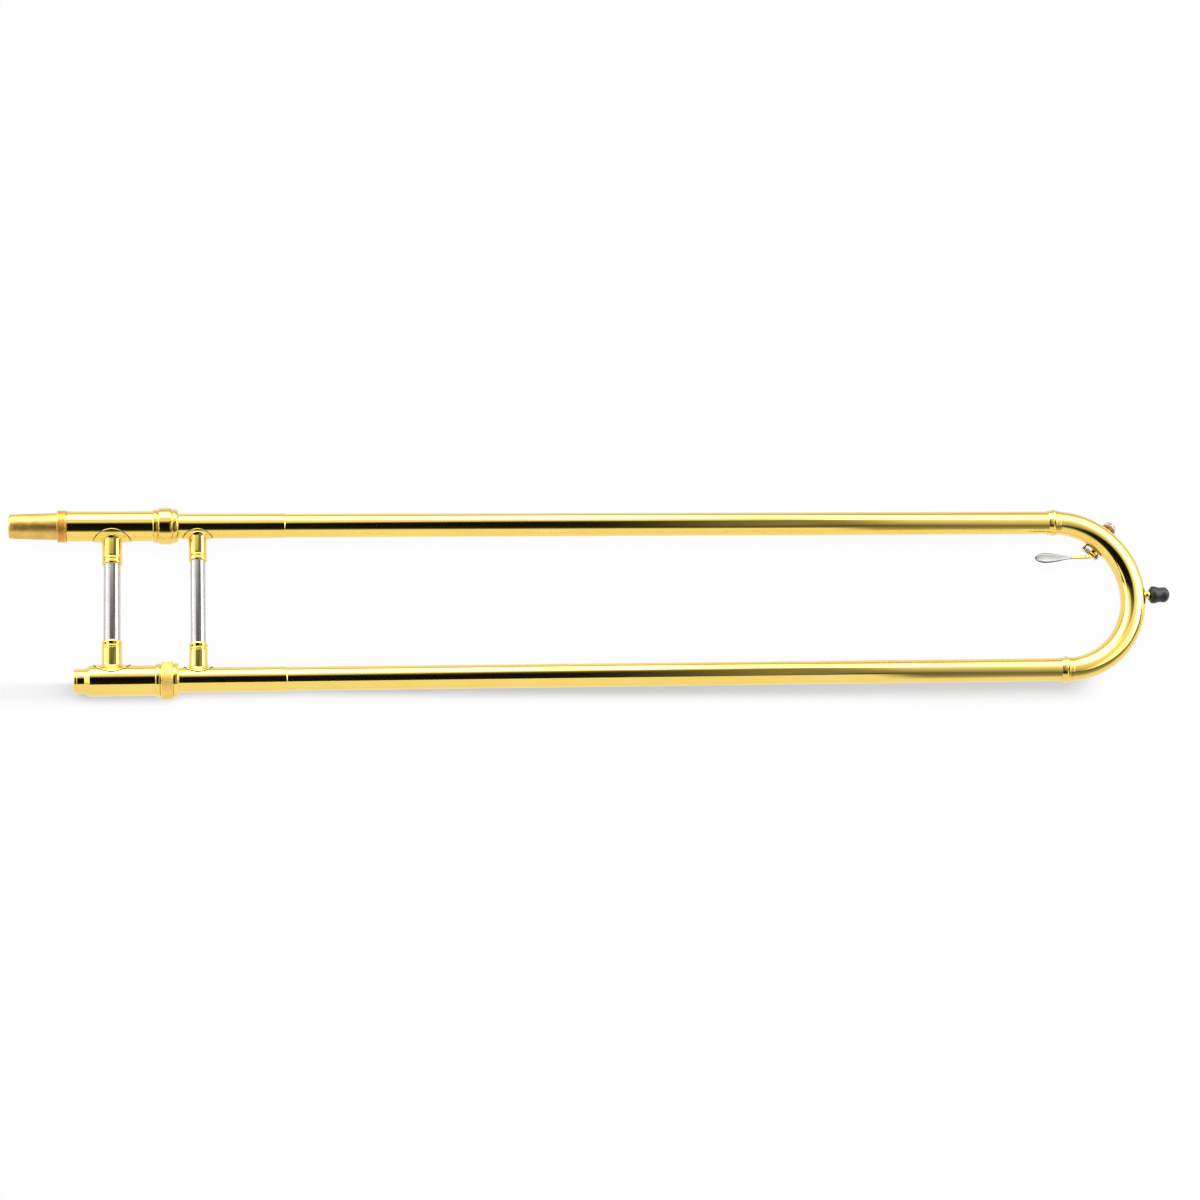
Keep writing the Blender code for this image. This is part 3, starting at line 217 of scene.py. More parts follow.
def noise(tree, coordinates, scale, detail, rough, shift, stretch=(1.0, 1.0, 1.0)):
    """A cloud pattern of about 1/scale metres, drawn out along an axis where stretch is small."""
    mapping = tree.nodes.new("ShaderNodeMapping")
    mapping.inputs["Scale"].default_value = stretch
    mapping.inputs["Location"].default_value = (shift, 0.3 * shift, 0.7 * shift)
    tree.links.new(coordinates, mapping.inputs["Vector"])
    cloud = tree.nodes.new("ShaderNodeTexNoise")
    for key, number in (("Scale", scale), ("Detail", detail), ("Roughness", rough)):
        cloud.inputs[key].default_value = number
    tree.links.new(mapping.outputs["Vector"], cloud.inputs["Vector"])
    return cloud.outputs["Fac"]


def spread(tree, value, low, high, start=0.3, end=0.7):
    """Carries a pattern's middle range onto low to high, held inside both."""
    ramp = tree.nodes.new("ShaderNodeMapRange")
    for key, number in (("From Min", start), ("From Max", end), ("To Min", low), ("To Max", high)):
        ramp.inputs[key].default_value = number
    tree.links.new(value, ramp.inputs["Value"])
    return ramp.outputs["Result"]


def blended(tree, share, first, second):
    """A colour between two, by share. Either colour is a plain colour or another node's output."""
    mix = tree.nodes.new("ShaderNodeMix")
    mix.data_type = "RGBA"
    tree.links.new(share, mix.inputs["Factor"])
    for socket, colour in ((mix.inputs["A"], first), (mix.inputs["B"], second)):
        if isinstance(colour, tuple):
            socket.default_value = (*colour, 1.0)
        else:
            tree.links.new(colour, socket)
    return mix.outputs["Result"]


def relief(tree, shader, height, depth, under=None):
    """Raises the surface by height times depth metres, on top of any relief under it."""
    bump = tree.nodes.new("ShaderNodeBump")
    bump.inputs["Strength"].default_value = 1.0
    bump.inputs["Distance"].default_value = depth
    tree.links.new(height, bump.inputs["Height"])
    if under is not None:
        tree.links.new(under, bump.inputs["Normal"])
    tree.links.new(bump.outputs["Normal"], shader.inputs["Normal"])
    return bump.outputs["Normal"]


def painted(tree, shader, colour, roughness):
    """Gives the shader its colour and its roughness, each from a pattern."""
    tree.links.new(colour, shader.inputs["Base Color"])
    tree.links.new(roughness, shader.inputs["Roughness"])


def bare_brass(name, bright, dull, roughness, lines):
    """Unlacquered brass: lathe lines round it, slow tarnish clouds and paler rubbed places."""
    material, tree, shader, here = new_finish(name, {"Metallic": 1.0})
    tarnish_and_painted_shade = noise(tree, here, 150.0, 4.0, 0.6, 1.3)
    rubbed = noise(tree, here, 420.0, 2.0, 0.5, 4.1, (0.5, 1.0, 1.0))
    turning = noise(tree, here, 5200.0, 2.0, 0.6, 0.0, (1.0, 0.03, 0.03))
    in_lines = tuple(0.72 * c for c in dull)
    base = blended(tree, spread(tree, tarnish_and_painted_shade, 0.0, 1.0, 0.38, 0.66), bright, dull)
    base = blended(tree, spread(tree, turning, 0.0, 0.35, 0.35, 0.7), base, in_lines)
    painted(tree, shader, base, spread(tree, rubbed, *roughness))
    relief(tree, shader, turning, lines)
    return material


tenon_brass = bare_brass("tenon_bare_brass", (0.88, 0.58, 0.15), (0.74, 0.46, 0.11), (0.33, 0.42), 3e-6)
collar_brass = bare_brass("collar_bare_brass", (0.95, 0.62, 0.19), (0.84, 0.51, 0.13), (0.26, 0.4), 2e-6)

TENON = [
    (0.0, BORE, 0.12), (0.0, 7.35, 0.3), (0.9, 7.88, 0.5), (2.6, 8.08, 0.12), (2.85, 8.0, 0.1),
    (3.1, 8.11, 0.12), (31.2, 8.9, 0.1), (37.2, 8.9, 0.1), (37.2, 7.3, 0.1), (26.4, 7.3, 0.1),
    (26.4, BORE, 0.1),
]
turned_piece("bell_tenon", tenon_brass, "inner_slide", TENON, UPPER)

THREAD_PITCH = 0.56
crests = 32.1 + THREAD_PITCH * np.arange(8)
threads = [(x, r, 0.07) for crest in crests for x, r in ((crest, 10.68), (crest + THREAD_PITCH / 2, 10.34))]
COLLAR = [(31.2, 8.92, 0.1), (31.2, 10.4, 0.2), (31.55, 10.6, 0.1), *threads,
          (36.7, 10.6, 0.1), (37.2, 10.35, 0.2), (37.2, 8.92, 0.1)]
turned_piece("tenon_collar", collar_brass, "inner_slide", COLLAR, UPPER)


# Cork barrels.
# Two drawn brass tubes, buffed bright and lacquered, that hold the corks and carry the slide's fixed parts.
# The lower one is shorter and closes on the mouthpiece receiver with a cone.
def painted_shade_over(tree, base, dark):
    """The base colour, going to dark where the piece's darkening mark is 1: painted shade."""
    mark = tree.nodes.new("ShaderNodeAttribute")
    mark.attribute_name = "tarnish_and_painted_shade"
    return blended(tree, mark.outputs["Fac"], base, dark)


def lacquered(name, bright=(0.955, 0.705, 0.17), deep=(0.93, 0.665, 0.14), roughness=(0.045, 0.085),
              peel=0.9e-6, grain=(0.12, 1.0, 1.0), shift=0.0, dark=None):
    """Buffed brass under clear lacquer: faint polishing grain, slow drifts of tone and soft waves."""
    levels = {"Metallic": 1.0, "Coat Weight": 0.4, "Coat Roughness": 0.03, "Coat IOR": 1.5}
    material, tree, shader, here = new_finish(name, levels)
    drift = noise(tree, here, 45.0, 3.0, 0.55, shift, (0.5, 1.0, 1.0))
    polish = noise(tree, here, 2600.0, 3.0, 0.6, shift + 2.0, grain)
    waves = noise(tree, here, 330.0, 1.0, 0.4, shift + 5.0, (0.6, 1.0, 1.0))
    specks = noise(tree, here, 1500.0, 1.0, 0.5, shift + 9.0)
    base = blended(tree, spread(tree, drift, 0.0, 0.8, 0.35, 0.65), bright, deep)
    base = blended(tree, spread(tree, specks, 0.0, 0.35, 0.71, 0.76), base, (0.72, 0.45, 0.07))
    if dark:
        base = painted_shade_over(tree, base, dark)
    painted(tree, shader, base, spread(tree, polish, *roughness))
    relief(tree, shader, waves, peel, relief(tree, shader, polish, 2.5e-7))
    return material


barrel_brass = lacquered("barrel_lacquered_brass")

BARREL_RADIUS, BARREL_BORE = 10.05, 9.2
UPPER_BARREL = [
    (37.4, 7.35, 0.1), (37.4, BARREL_RADIUS, 0.28), (106.0, BARREL_RADIUS, 0.12), (106.0, BARREL_BORE, 0.12),
    (38.6, BARREL_BORE, 0.1), (38.6, 7.35, 0.1),
]
turned_piece("upper_cork_barrel", barrel_brass, "inner_slide", UPPER_BARREL, UPPER)

LOWER_BARREL = [
    (49.4, 8.05, 0.1), (49.4, 8.3, 0.12), (52.9, 10.02, 0.5), (54.0, BARREL_RADIUS, 0.3),
    (104.1, BARREL_RADIUS, 0.12), (104.1, BARREL_BORE, 0.12), (54.2, BARREL_BORE, 0.1), (54.2, 8.05, 0.1),
]
turned_piece("lower_cork_barrel", barrel_brass, "inner_slide", LOWER_BARREL, LOWER)


# Upper barrel ring.
# A bead and a broad crowned ring, turned from brass, soldered over the open end of the upper barrel.
# It takes the knocks when the outer slide comes home.
ring_brass = lacquered("ring_lacquered_brass", (0.95, 0.69, 0.165), (0.915, 0.64, 0.13), (0.055, 0.12),
                       1.5e-6, (1.0, 0.08, 0.08), 3.0)

BARREL_RING = [
    (93.4, 10.08, 0.05), (93.4, 10.45, 0.15), (93.75, 10.95, 0.3), (94.6, 11.15, 0.5), (95.6, 11.15, 0.5),
    (96.4, 10.95, 0.3), (96.75, 10.45, 0.12), (97.0, 10.45, 0.08), (97.02, 11.5, 0.12), (97.35, 11.95, 0.3),
    (98.6, 12.25, 0.55), (104.7, 12.25, 0.55), (105.95, 11.95, 0.3), (106.28, 11.5, 0.12),
    (106.3, 10.08, 0.05),
]
turned_piece("upper_barrel_ring", ring_brass, "inner_slide", BARREL_RING, UPPER)


# Lower barrel bead and the lock ring's retaining collar.
# The bead is a half-round brass hoop, the shoulder that the lock ring turns against.
# The collar, out of sight inside the lock ring, is bare brass and keeps the ring on its barrel.
LOWER_BEAD = [
    (94.8, 10.08, 0.05), (94.8, 10.45, 0.15), (95.15, 10.95, 0.3), (95.9, 11.15, 0.5), (97.0, 11.15, 0.5),
    (97.75, 10.95, 0.3), (98.1, 10.45, 0.15), (98.1, 10.08, 0.05),
]
turned_piece("lower_barrel_bead", ring_brass, "inner_slide", LOWER_BEAD, LOWER)

RETAINER = [(102.1, 10.1, 0.05), (102.1, 11.15, 0.15), (103.4, 11.15, 0.15), (103.4, 10.1, 0.05)]
turned_piece("lock_retaining_collar", collar_brass, "inner_slide", RETAINER, LOWER)


# Slide lock ring.
# Brass, with a satin band of fine diamond knurling for the thumb between two polished shoulders.
# Inside are a bearing, a pocket and a thin lip, notched so that the end ring's lug can pass.
KNURL_TEETH = 96
KNURL_START, KNURL_END = 99.35, 105.6
KNURL_DEPTH = 0.11
KNURL_RADIUS = 12.18
KNURL_ROWS = 53
NOTCH_HALF_ANGLE = math.radians(12.0)

LOCK_RING = np.vstack([
    eased([(98.4, 10.3, 0.08), (98.4, 11.65, 0.3), (98.7, 12.05, 0.2), (99.1, 12.2, 0.12),
           (KNURL_START, 12.05, 0.1)])[:-3],
    np.column_stack([np.linspace(KNURL_START, KNURL_END, KNURL_ROWS), np.full(KNURL_ROWS, KNURL_RADIUS)]),
    eased([(KNURL_END, 12.05, 0.1), (105.85, 12.2, 0.12), (106.15, 11.95, 0.2), (106.3, 11.5, 0.1),
           (106.3, 11.0, 0.08), (105.3, 11.0, 0.08), (105.3, 11.4, 0.08), (101.9, 11.4, 0.08),
           (101.9, 10.3, 0.08)])[3:],
])


def risen(value, start, length):
    """0 up to start, then a straight rise to 1 over the length. A negative length makes it a fall from 1."""
    return np.clip((value - start) / length, 0, 1)


def lock_ring_grid():
    """The lock ring's profile, spun, with the knurl and the notch.

    The knurl is the lower of two crossing sets of waves, min(|sin(N a / 2 + k x)|, |sin(N a / 2 - k x)|),
    faded out at the band's edges. The notch lifts the lip's inner radius near the top of the ring.
    """
    columns = 6 * KNURL_TEETH
    grid = turned(LOCK_RING, (0.0, 0.0, 0.0), columns=columns)
    x = grid[:, :, 0] / MM
    radius = np.hypot(grid[:, :, 1], grid[:, :, 2]) / MM
    angle = np.arctan2(grid[:, :, 1], grid[:, :, 2])
    wave = math.pi * (x - KNURL_START) / 0.8
    tooth = KNURL_TEETH * angle / 2
    teeth = np.minimum(np.abs(np.sin(tooth + wave)), np.abs(np.sin(tooth - wave)))
    band = risen(x, KNURL_START, 0.25) * risen(x, KNURL_END, -0.25) * (radius > 11.9)
    lip = (x > 105.25) & (radius < 11.3)
    notch = risen(np.abs(angle), NOTCH_HALF_ANGLE, -0.01) * lip
    lifted = radius + KNURL_DEPTH * (teeth - 0.5) * band + (11.38 - radius) * notch
    grid[:, :, 1:] *= (lifted / radius)[:, :, None]
    return grid + LOWER


def combined(tree, operation, *values):
    """One arithmetic step. Each value is a number or another node's output."""
    step = tree.nodes.new("ShaderNodeMath")
    step.operation = operation
    for socket, value in zip(step.inputs, values):
        if isinstance(value, float):
            socket.default_value = value
        else:
            tree.links.new(value, socket)
    return step.outputs[0]


def on_axis(tree, here, axis):
    """A place's X, Y or Z."""
    split = tree.nodes.new("ShaderNodeSeparateXYZ")
    tree.links.new(here, split.inputs["Vector"])
    return split.outputs[axis]


def knurled_finish():
    """Lacquered brass that turns satin over the knurled band, with paler crests where the thumb rubs."""
    levels = {"Metallic": 1.0, "Coat Weight": 0.15, "Coat Roughness": 0.2}
    material, tree, shader, here = new_finish("lock_ring_satin_brass", levels)
    middle = TIP_X + (KNURL_START + KNURL_END) / 2 * MM
    half = (KNURL_END - KNURL_START) / 2 * MM
    away = combined(tree, "ABSOLUTE", combined(tree, "SUBTRACT", on_axis(tree, here, "X"), middle))
    satin = spread(tree, away, 1.0, 0.0, half - 0.1 * MM, half + 0.15 * MM)
    grit = noise(tree, here, 5200.0, 2.0, 0.6, 1.0)
    rubbed = noise(tree, here, 260.0, 3.0, 0.5, 7.0)
    tone = blended(tree, spread(tree, rubbed, 0.0, 1.0, 0.4, 0.62), (0.95, 0.68, 0.18), (0.90, 0.62, 0.15))
    dull = combined(tree, "MULTIPLY", satin, spread(tree, grit, 0.42, 0.54))
    painted(tree, shader, blended(tree, satin, (0.95, 0.69, 0.165), tone), combined(tree, "ADD", dull, 0.075))
    relief(tree, shader, combined(tree, "MULTIPLY", satin, grit), 1.2e-5)
    return material


piece("slide_lock_ring", knurled_finish(), "lock_ring", skin(lock_ring_grid()))


# Mouthpiece receiver and leadpipe.
# The receiver is a tapered brass socket, lacquered, with a small rim on its mouth; the shank wedges into it.
# The leadpipe, a thin bare brass taper, carries the air on inside the lower inner tube.
RECEIVER = [
    (42.7, 6.5, 0.2), (42.7, 8.05, 0.6), (44.3, 8.05, 0.12), (44.55, 7.78, 0.1), (44.85, 8.0, 0.12),
    (86.0, 8.0, 0.12), (86.0, 7.3, 0.1), (80.0, 7.3, 0.1), (80.0, 6.05, 0.1),
]
turned_piece("mouthpiece_receiver", barrel_brass, "inner_slide", RECEIVER, LOWER)

LEADPIPE = [(82.9, 5.9, 0.05), (82.9, 6.85, 0.1), (282.9, 6.85, 0.1), (282.9, 6.5, 0.1)]
turned_piece("leadpipe", collar_brass, "inner_slide", LEADPIPE, LOWER, columns=96)


# Inner slide tubes.
# Thin nickel silver tubes, hard chromed and polished so that the outer slide runs on them.
# Their last stretch, the stocking, is a hair thicker and duller, since only it bears on the outer tubes.
STOCKING_START, INNER_TUBE_END = 585.0, 700.0


def chrome_finish():
    """Polished chrome with hair-fine marks along the tube, cloudier on the stocking, where wear shows."""
    material, tree, shader, here = new_finish("inner_tube_chrome", {"Metallic": 1.0})
    hairs = noise(tree, here, 4000.0, 3.0, 0.6, 0.0, (0.02, 1.0, 1.0))
    cloud = noise(tree, here, 90.0, 3.0, 0.5, 3.0, (0.4, 1.0, 1.0))
    worn = spread(tree, on_axis(tree, here, "X"), 0.0, 1.0, TIP_X + (STOCKING_START - 4) * MM,
                  TIP_X + (STOCKING_START + 1) * MM)
    bright = blended(tree, spread(tree, cloud, 0.0, 1.0), (0.80, 0.81, 0.83), (0.74, 0.75, 0.775))
    rough = combined(tree, "MULTIPLY_ADD", worn, 0.09, spread(tree, hairs, 0.05, 0.11))
    painted(tree, shader, blended(tree, worn, bright, (0.70, 0.70, 0.71)), rough)
    relief(tree, shader, hairs, 3e-7)
    return material


chrome = chrome_finish()


def inner_tube(name, start, origin):
    """A plain tube from its start to the stocking, and a slightly thicker stretch to its end."""
    corners = [
        (start, BORE, 0.08), (start, 7.2, 0.08), (STOCKING_START, 7.2, 0.3), (STOCKING_START + 1.0, 7.3, 0.3),
        (INNER_TUBE_END - 1.0, 7.3, 0.3), (INNER_TUBE_END, 7.2, 0.08), (INNER_TUBE_END, BORE, 0.08),
    ]
    turned_piece(name, chrome, "inner_slide", corners, origin)


inner_tube("upper_inner_tube", 26.3, UPPER)
inner_tube("lower_inner_tube", 80.1, LOWER)


# Barrel corks and felts.
# A cork sleeve in each barrel, faced with a white felt washer, cushions the outer slide as it comes home.
# Both are pressed in dry and only show down the gap at the barrel's end.
def cork_finish():
    """Cork: amber with darker cells and brown lenticel specks, rough to the touch."""
    material, tree, shader, here = new_finish("amber_cork", {})
    cells = tree.nodes.new("ShaderNodeTexVoronoi")
    cells.inputs["Scale"].default_value = 1500.0
    tree.links.new(here, cells.inputs["Vector"])
    cloud = noise(tree, here, 500.0, 4.0, 0.65, 0.5)
    specks = noise(tree, here, 900.0, 2.0, 0.5, 6.0, (1.0, 1.0, 0.4))
    base = blended(tree, spread(tree, cloud, 0.0, 1.0), (0.66, 0.33, 0.105), (0.52, 0.24, 0.07))
    base = blended(tree, spread(tree, specks, 0.0, 0.8, 0.62, 0.70), base, (0.20, 0.085, 0.03))
    painted(tree, shader, base, spread(tree, cloud, 0.72, 0.9))
    relief(tree, shader, specks, 8e-5, relief(tree, shader, cells.outputs["Distance"], 6e-5))
    return material


def felt_finish():
    """Pressed white wool felt: tangled fibres, slightly yellowed in places."""
    levels = {"Sheen Weight": 0.4, "Sheen Roughness": 0.5, "Roughness": 0.95}
    material, tree, shader, here = new_finish("white_felt", levels)
    fibres = noise(tree, here, 6500.0, 5.0, 0.7, 2.0, (1.0, 0.35, 1.0))
    stain = noise(tree, here, 320.0, 2.0, 0.5, 8.0)
    base = blended(tree, spread(tree, fibres, 0.0, 1.0), (0.84, 0.82, 0.77), (0.70, 0.67, 0.60))
    base = blended(tree, spread(tree, stain, 0.0, 0.5, 0.5, 0.7), base, (0.72, 0.62, 0.44))
    tree.links.new(base, shader.inputs["Base Color"])
    relief(tree, shader, fibres, 1.2e-4)
    return material


cork = cork_finish()
felt = felt_finish()


def washer(name, finish, start, end, inside, outside, ease, origin):
    """A soft sleeve or ring with straight sides and eased edges."""
    corners = [(start, inside, ease), (start, outside, ease), (end, outside, ease), (end, inside, ease)]
    turned_piece(name, finish, "inner_slide", corners, origin, columns=96)


for side, origin in (("upper", UPPER), ("lower", LOWER)):
    washer(side + "_barrel_cork", cork, 86.5, 97.0, 7.5, 9.0, 0.15, origin)
    washer(side + "_barrel_felt", felt, 97.3, 99.0, 7.5, 9.0, 0.35, origin)


# End rings of the outer slide.
# A bevelled brass hoop soldered round the mouth of each outer tube; it stops against the barrel's end.
# The lower one carries the lock lug, a curved tongue with a nib that hooks behind the lock ring's lip.
END_RING = [
    (106.6, 8.3, 0.08), (106.6, 11.35, 0.25), (107.7, 11.38, 0.4), (109.2, 11.0, 0.35), (109.95, 10.2, 0.35),
    (110.3, 8.75, 0.15), (110.3, 8.3, 0.05),
]
LUG_HALF_ANGLE = math.radians(8.0)
LUG = [
    (107.4, 10.3, 0.05), (103.9, 10.3, 0.12), (103.9, 11.22, 0.15), (105.05, 11.22, 0.12),
    (105.15, 10.82, 0.12), (107.4, 10.82, 0.05),
]


def stacked(outline, scales):
    """Copies of an outline, each scaled about its middle; a scale of 0 shrinks one to a point."""
    middle = outline.mean(axis=0)
    return middle + (outline[None] - middle) * np.array(scales)[:, None, None]


def lug_grid():
    """The lug's outline carried round the tube's axis between two angles, shrunk to a point at each end."""
    angle = LUG_HALF_ANGLE * np.array([-1, -1, -1, -0.97, -0.5, 0, 0.5, 0.97, 1, 1, 1])
    loops = stacked(eased(LUG), [0, 0.8, 0.96, 1, 1, 1, 1, 1, 0.96, 0.8, 0])
    x, r = loops[:, :, 0], loops[:, :, 1]
    return LOWER + MM * np.stack([x, r * np.sin(angle)[:, None], r * np.cos(angle)[:, None]], axis=-1)


turned_piece("upper_end_ring", ring_brass, "outer_slide", END_RING, UPPER)
piece("lower_end_ring", ring_brass, "outer_slide", skin(turned(eased(END_RING), LOWER)),
      skin(lug_grid(), ring=False))


# Outer slide tubes and their grip sleeves.
# Drawn brass tubes, the slide's longest pieces, with a second thin sleeve where the hand and the brace sit.
# The lacquer on the long tubes is thin, and drawing has left a faint grain along them.
tube_brass = lacquered("tube_lacquered_brass", roughness=(0.05, 0.10), peel=0.8e-6, grain=(0.04, 1.0, 1.0),
                       shift=11.0)

SLEEVE_RADIUS = 8.26
SLEEVE = [(99.3, 7.93, 0.05), (99.3, SLEEVE_RADIUS, 0.12), (179.75, SLEEVE_RADIUS, 0.08),
          (180.3, 7.95, 0.04), (180.3, 7.93, 0.01)]
OUTER_TUBE = [(99.6, 7.5, 0.1), (99.6, 7.9, 0.1), (711.4, 7.9, 0.1), (711.4, 7.5, 0.1)]
for side, origin in (("upper", UPPER), ("lower", LOWER)):
    turned_piece(side + "_grip_sleeve", tube_brass, "outer_slide", SLEEVE, origin)
    turned_piece(side + "_outer_tube", tube_brass, "outer_slide", OUTER_TUBE, origin)


# Brace sockets.
# Each is a thin flange bent to its tube and a cup drawn up from it, soldered down and lacquered over.
# A groove and a crowned bead finish the cup's mouth, where the brace tube goes in.
INNER_BRACE_PLACE, INNER_BRACE_RADIUS = 66.8, 5.5
OUTER_BRACE_PLACE, OUTER_BRACE_RADIUS = 122.6, 4.95
# The dark colour is painted shade, laid along the flange's crease and round the cup's foot.
socket_brass = lacquered("socket_lacquered_brass", (0.955, 0.70, 0.165), (0.925, 0.655, 0.135), (0.05, 0.10),
                         1.8e-6, (1.0, 0.15, 1.0), 17.0, dark=(0.025, 0.016, 0.008))


FLANGE_THICKNESS, CUP_WALL = 0.65, 1.15


def socket_grid(station, side, carrier, brace, flange, reach):
    """Loops round the socket's axis, from under the flange, over it, up the cup and down into its bore.

    Flange loops are circles on the tube's unrolled skin, laid back on it: height R cos(v / R), breadth
    R sin(v / R). Above it each loop's height is its profile's plus the saddle's drop, which dies away up
    the wall as 1 - s^0.5.
    """
    columns = 96
    angle = 2 * np.pi * np.arange(columns) / columns
    cosine, sine = np.cos(angle), np.sin(angle)
    top = carrier + FLANGE_THICKNESS
    body = brace + CUP_WALL
    mouth = carrier + reach
    foot = body + 1.0

    def laid(radius, height):
        v = radius * sine / top
        return np.stack([radius * cosine, height * np.cos(v), height * np.sin(v)], axis=-1)

    def standing(radius, share, height):
        saddle = np.sqrt(top ** 2 - (radius * sine) ** 2) + 0.05 - top
        return np.stack([radius * cosine, height + saddle * (1 - share), radius * sine], axis=-1)

    loops = [laid(s * flange, carrier - 0.03) for s in (0.0, 0.5, 0.99, 1.0)]
    loops += [laid(flange + d, carrier + h) for d, h in (
        (0.0, 0.04), (0.0, 0.1), (-0.06, 0.16), (-0.42, 0.54), (-0.52, 0.62), (-0.62, 0.64))]
    loops += [laid(foot + (flange - 0.7 - foot) * s, top - 0.01) for s in (1.0, 0.75, 0.5, 0.25, 0.05)]
    loops += [standing(foot - math.sin(a), 0.0, top + 1 - math.cos(a))
              for a in np.radians([8, 24, 42, 60, 76, 90])]
    wall = np.linspace(top + 1.3, mouth - 5.4, 10)
    loops += [standing(body - 0.2 * s, s ** 0.5, h) for s, h in zip(np.linspace(0.03, 1, 10), wall)]
    down, out, ease = np.transpose([
        (5.4, -0.2, 0.1), (5.1, -0.22, 0.1), (4.98, -0.5, 0.06), (4.74, -0.5, 0.06), (4.64, -0.2, 0.1),
        (4.1, -0.06, 0.4), (3.56, -0.2, 0.1), (3.44, -0.62, 0.08), (3.12, -0.62, 0.08), (3.0, -0.26, 0.15),
        (1.1, 0.07, 0.6), (0.2, -0.26, 0.25), (0.0, -0.7, 0.15), (0.0, -1.12, 0.05), (9.0, -1.12, 0.1)])
    cup = eased(np.column_stack([mouth - down, body + out, ease]), closed=False)[2:]
    loops += [standing(r, 1.0, h) for h, r in cup]
    loops.append(standing(0.0, 1.0, mouth - 9.0))
    grid = np.array(loops)
    grid[:, :, 1] *= -side
    return np.array((TIP_X + station * MM, side * TUBE_Y, TUBE_Z)) + MM * grid


def crease_shade(grid):
    """Painted shade in the crease along the flange's edge and, fainter, round the cup's foot."""
    rows = np.zeros(len(grid))
    rows[2:10] = (1.0, 1.0, 1.0, 1.0, 0.95, 0.55, 0.15, 0.0)
    rows[15:19] = (0.05, 0.12, 0.12, 0.05)
    return np.repeat(rows, grid.shape[1])


for side, sign in (("upper", 1), ("lower", -1)):
    for name, place, *sizes in (("inner", INNER_BRACE_PLACE, BARREL_RADIUS, INNER_BRACE_RADIUS, 12.6, 16.6),
                                ("outer", OUTER_BRACE_PLACE, SLEEVE_RADIUS, OUTER_BRACE_RADIUS, 10.0, 16.4)):
        grid = socket_grid(place, sign, *sizes)
        piece(f"{name}_brace_{side}_socket", socket_brass, name + "_slide", skin(grid, ring=False),
              tarnish_and_painted_shade=crease_shade(grid))


# Brace tubes.
# Plain nickel silver tubes between the sockets, unlacquered, with the polish running across the slide.
# The left hand holds the inner one and the right hand moves the outer one, so both are lightly marked.
def nickel(name, bright=(0.80, 0.765, 0.745), dull=(0.72, 0.68, 0.65), roughness=(0.09, 0.17),
           grain=(1.0, 0.04, 1.0), lines=4e-7, shift=0.0, dark=None):
    """Polished nickel silver: warm grey, fine hairlines along its drawing direction, cloudy finger marks."""
    material, tree, shader, here = new_finish(name, {"Metallic": 1.0})
    hairs = noise(tree, here, 3600.0, 3.0, 0.65, shift, grain)
    marks_and_painted_shade = noise(tree, here, 130.0, 3.0, 0.55, shift + 4.0)
    base = blended(tree, spread(tree, marks_and_painted_shade, 0.0, 1.0, 0.38, 0.64), bright, dull)
    if dark:
        base = painted_shade_over(tree, base, dark)
    painted(tree, shader, base, spread(tree, hairs, *roughness))
    relief(tree, shader, hairs, lines)
    return material


brace_nickel = nickel("brace_nickel_silver", (0.64, 0.595, 0.58), (0.58, 0.535, 0.52))


BRACE_WALL = 0.6
for name, place, radius, half in (("inner", INNER_BRACE_PLACE, INNER_BRACE_RADIUS, 34.55),
                                  ("outer", OUTER_BRACE_PLACE, OUTER_BRACE_RADIUS, 36.5)):
    corners = [(-half, radius - BRACE_WALL, 0.1), (-half, radius, 0.1), (half, radius, 0.1),
               (half, radius - BRACE_WALL, 0.1)]
    turned_piece(name + "_brace_tube", brace_nickel, name + "_slide", corners,
                 (TIP_X + place * MM, 0.0, TUBE_Z), (0.0, 1.0, 0.0))


# Ferrules.
# Turned brass collars that join the outer tubes to the crook: a narrow bead between two soft shoulders.
# Soldered, then lacquered together with the tubes.
COLLAR_START, COLLAR_LENGTH = 707.4, 7.9
BEAD_PLACE, BEAD_HALF = 711.6, 1.05
along = COLLAR_START + 0.2 + 0.25 * np.arange(30)
share = (along - COLLAR_START) / COLLAR_LENGTH
swell = 8.15 + 0.37 * share + 0.25 * np.sin(math.pi * share)
bead = 0.68 * np.sqrt(np.clip(1 - ((along - BEAD_PLACE) / BEAD_HALF) ** 2, 0.0, 1.0))
FERRULE = [(707.2, 7.93, 0.03), (707.2, 8.06, 0.05), *((x, r, 0.04) for x, r in zip(along, swell + bead)),
           (715.3, 8.5, 0.1), (715.5, 8.2, 0.05), (711.4, 7.95, 0.05)]
ferrule_brass = lacquered("ferrule_lacquered_brass", (0.955, 0.70, 0.165), (0.92, 0.65, 0.13), (0.05, 0.10),
                          1.2e-6, (1.0, 0.1, 0.1), 23.0)
turned_piece("upper_ferrule", ferrule_brass, "outer_slide", FERRULE, UPPER)
turned_piece("lower_ferrule", ferrule_brass, "outer_slide", FERRULE, LOWER)


# Crook.
# The U bend at the slide's end, bent from brass tube over a mandrel, a little wider round its middle.
# A small hole by the water key lets the water out; the nipple stands round it.
CROOK_X = 712.0
CROOK_RADIUS = 52.5
CROOK_TUBE = 8.05
CROOK_SWELL = 0.6
CROOK_WALL = 0.6
KEY_ANGLE = math.radians(49.5)
NIPPLE_DROP = math.radians(28.0)
KEY_TUBE = CROOK_TUBE + CROOK_SWELL * math.cos(KEY_ANGLE)


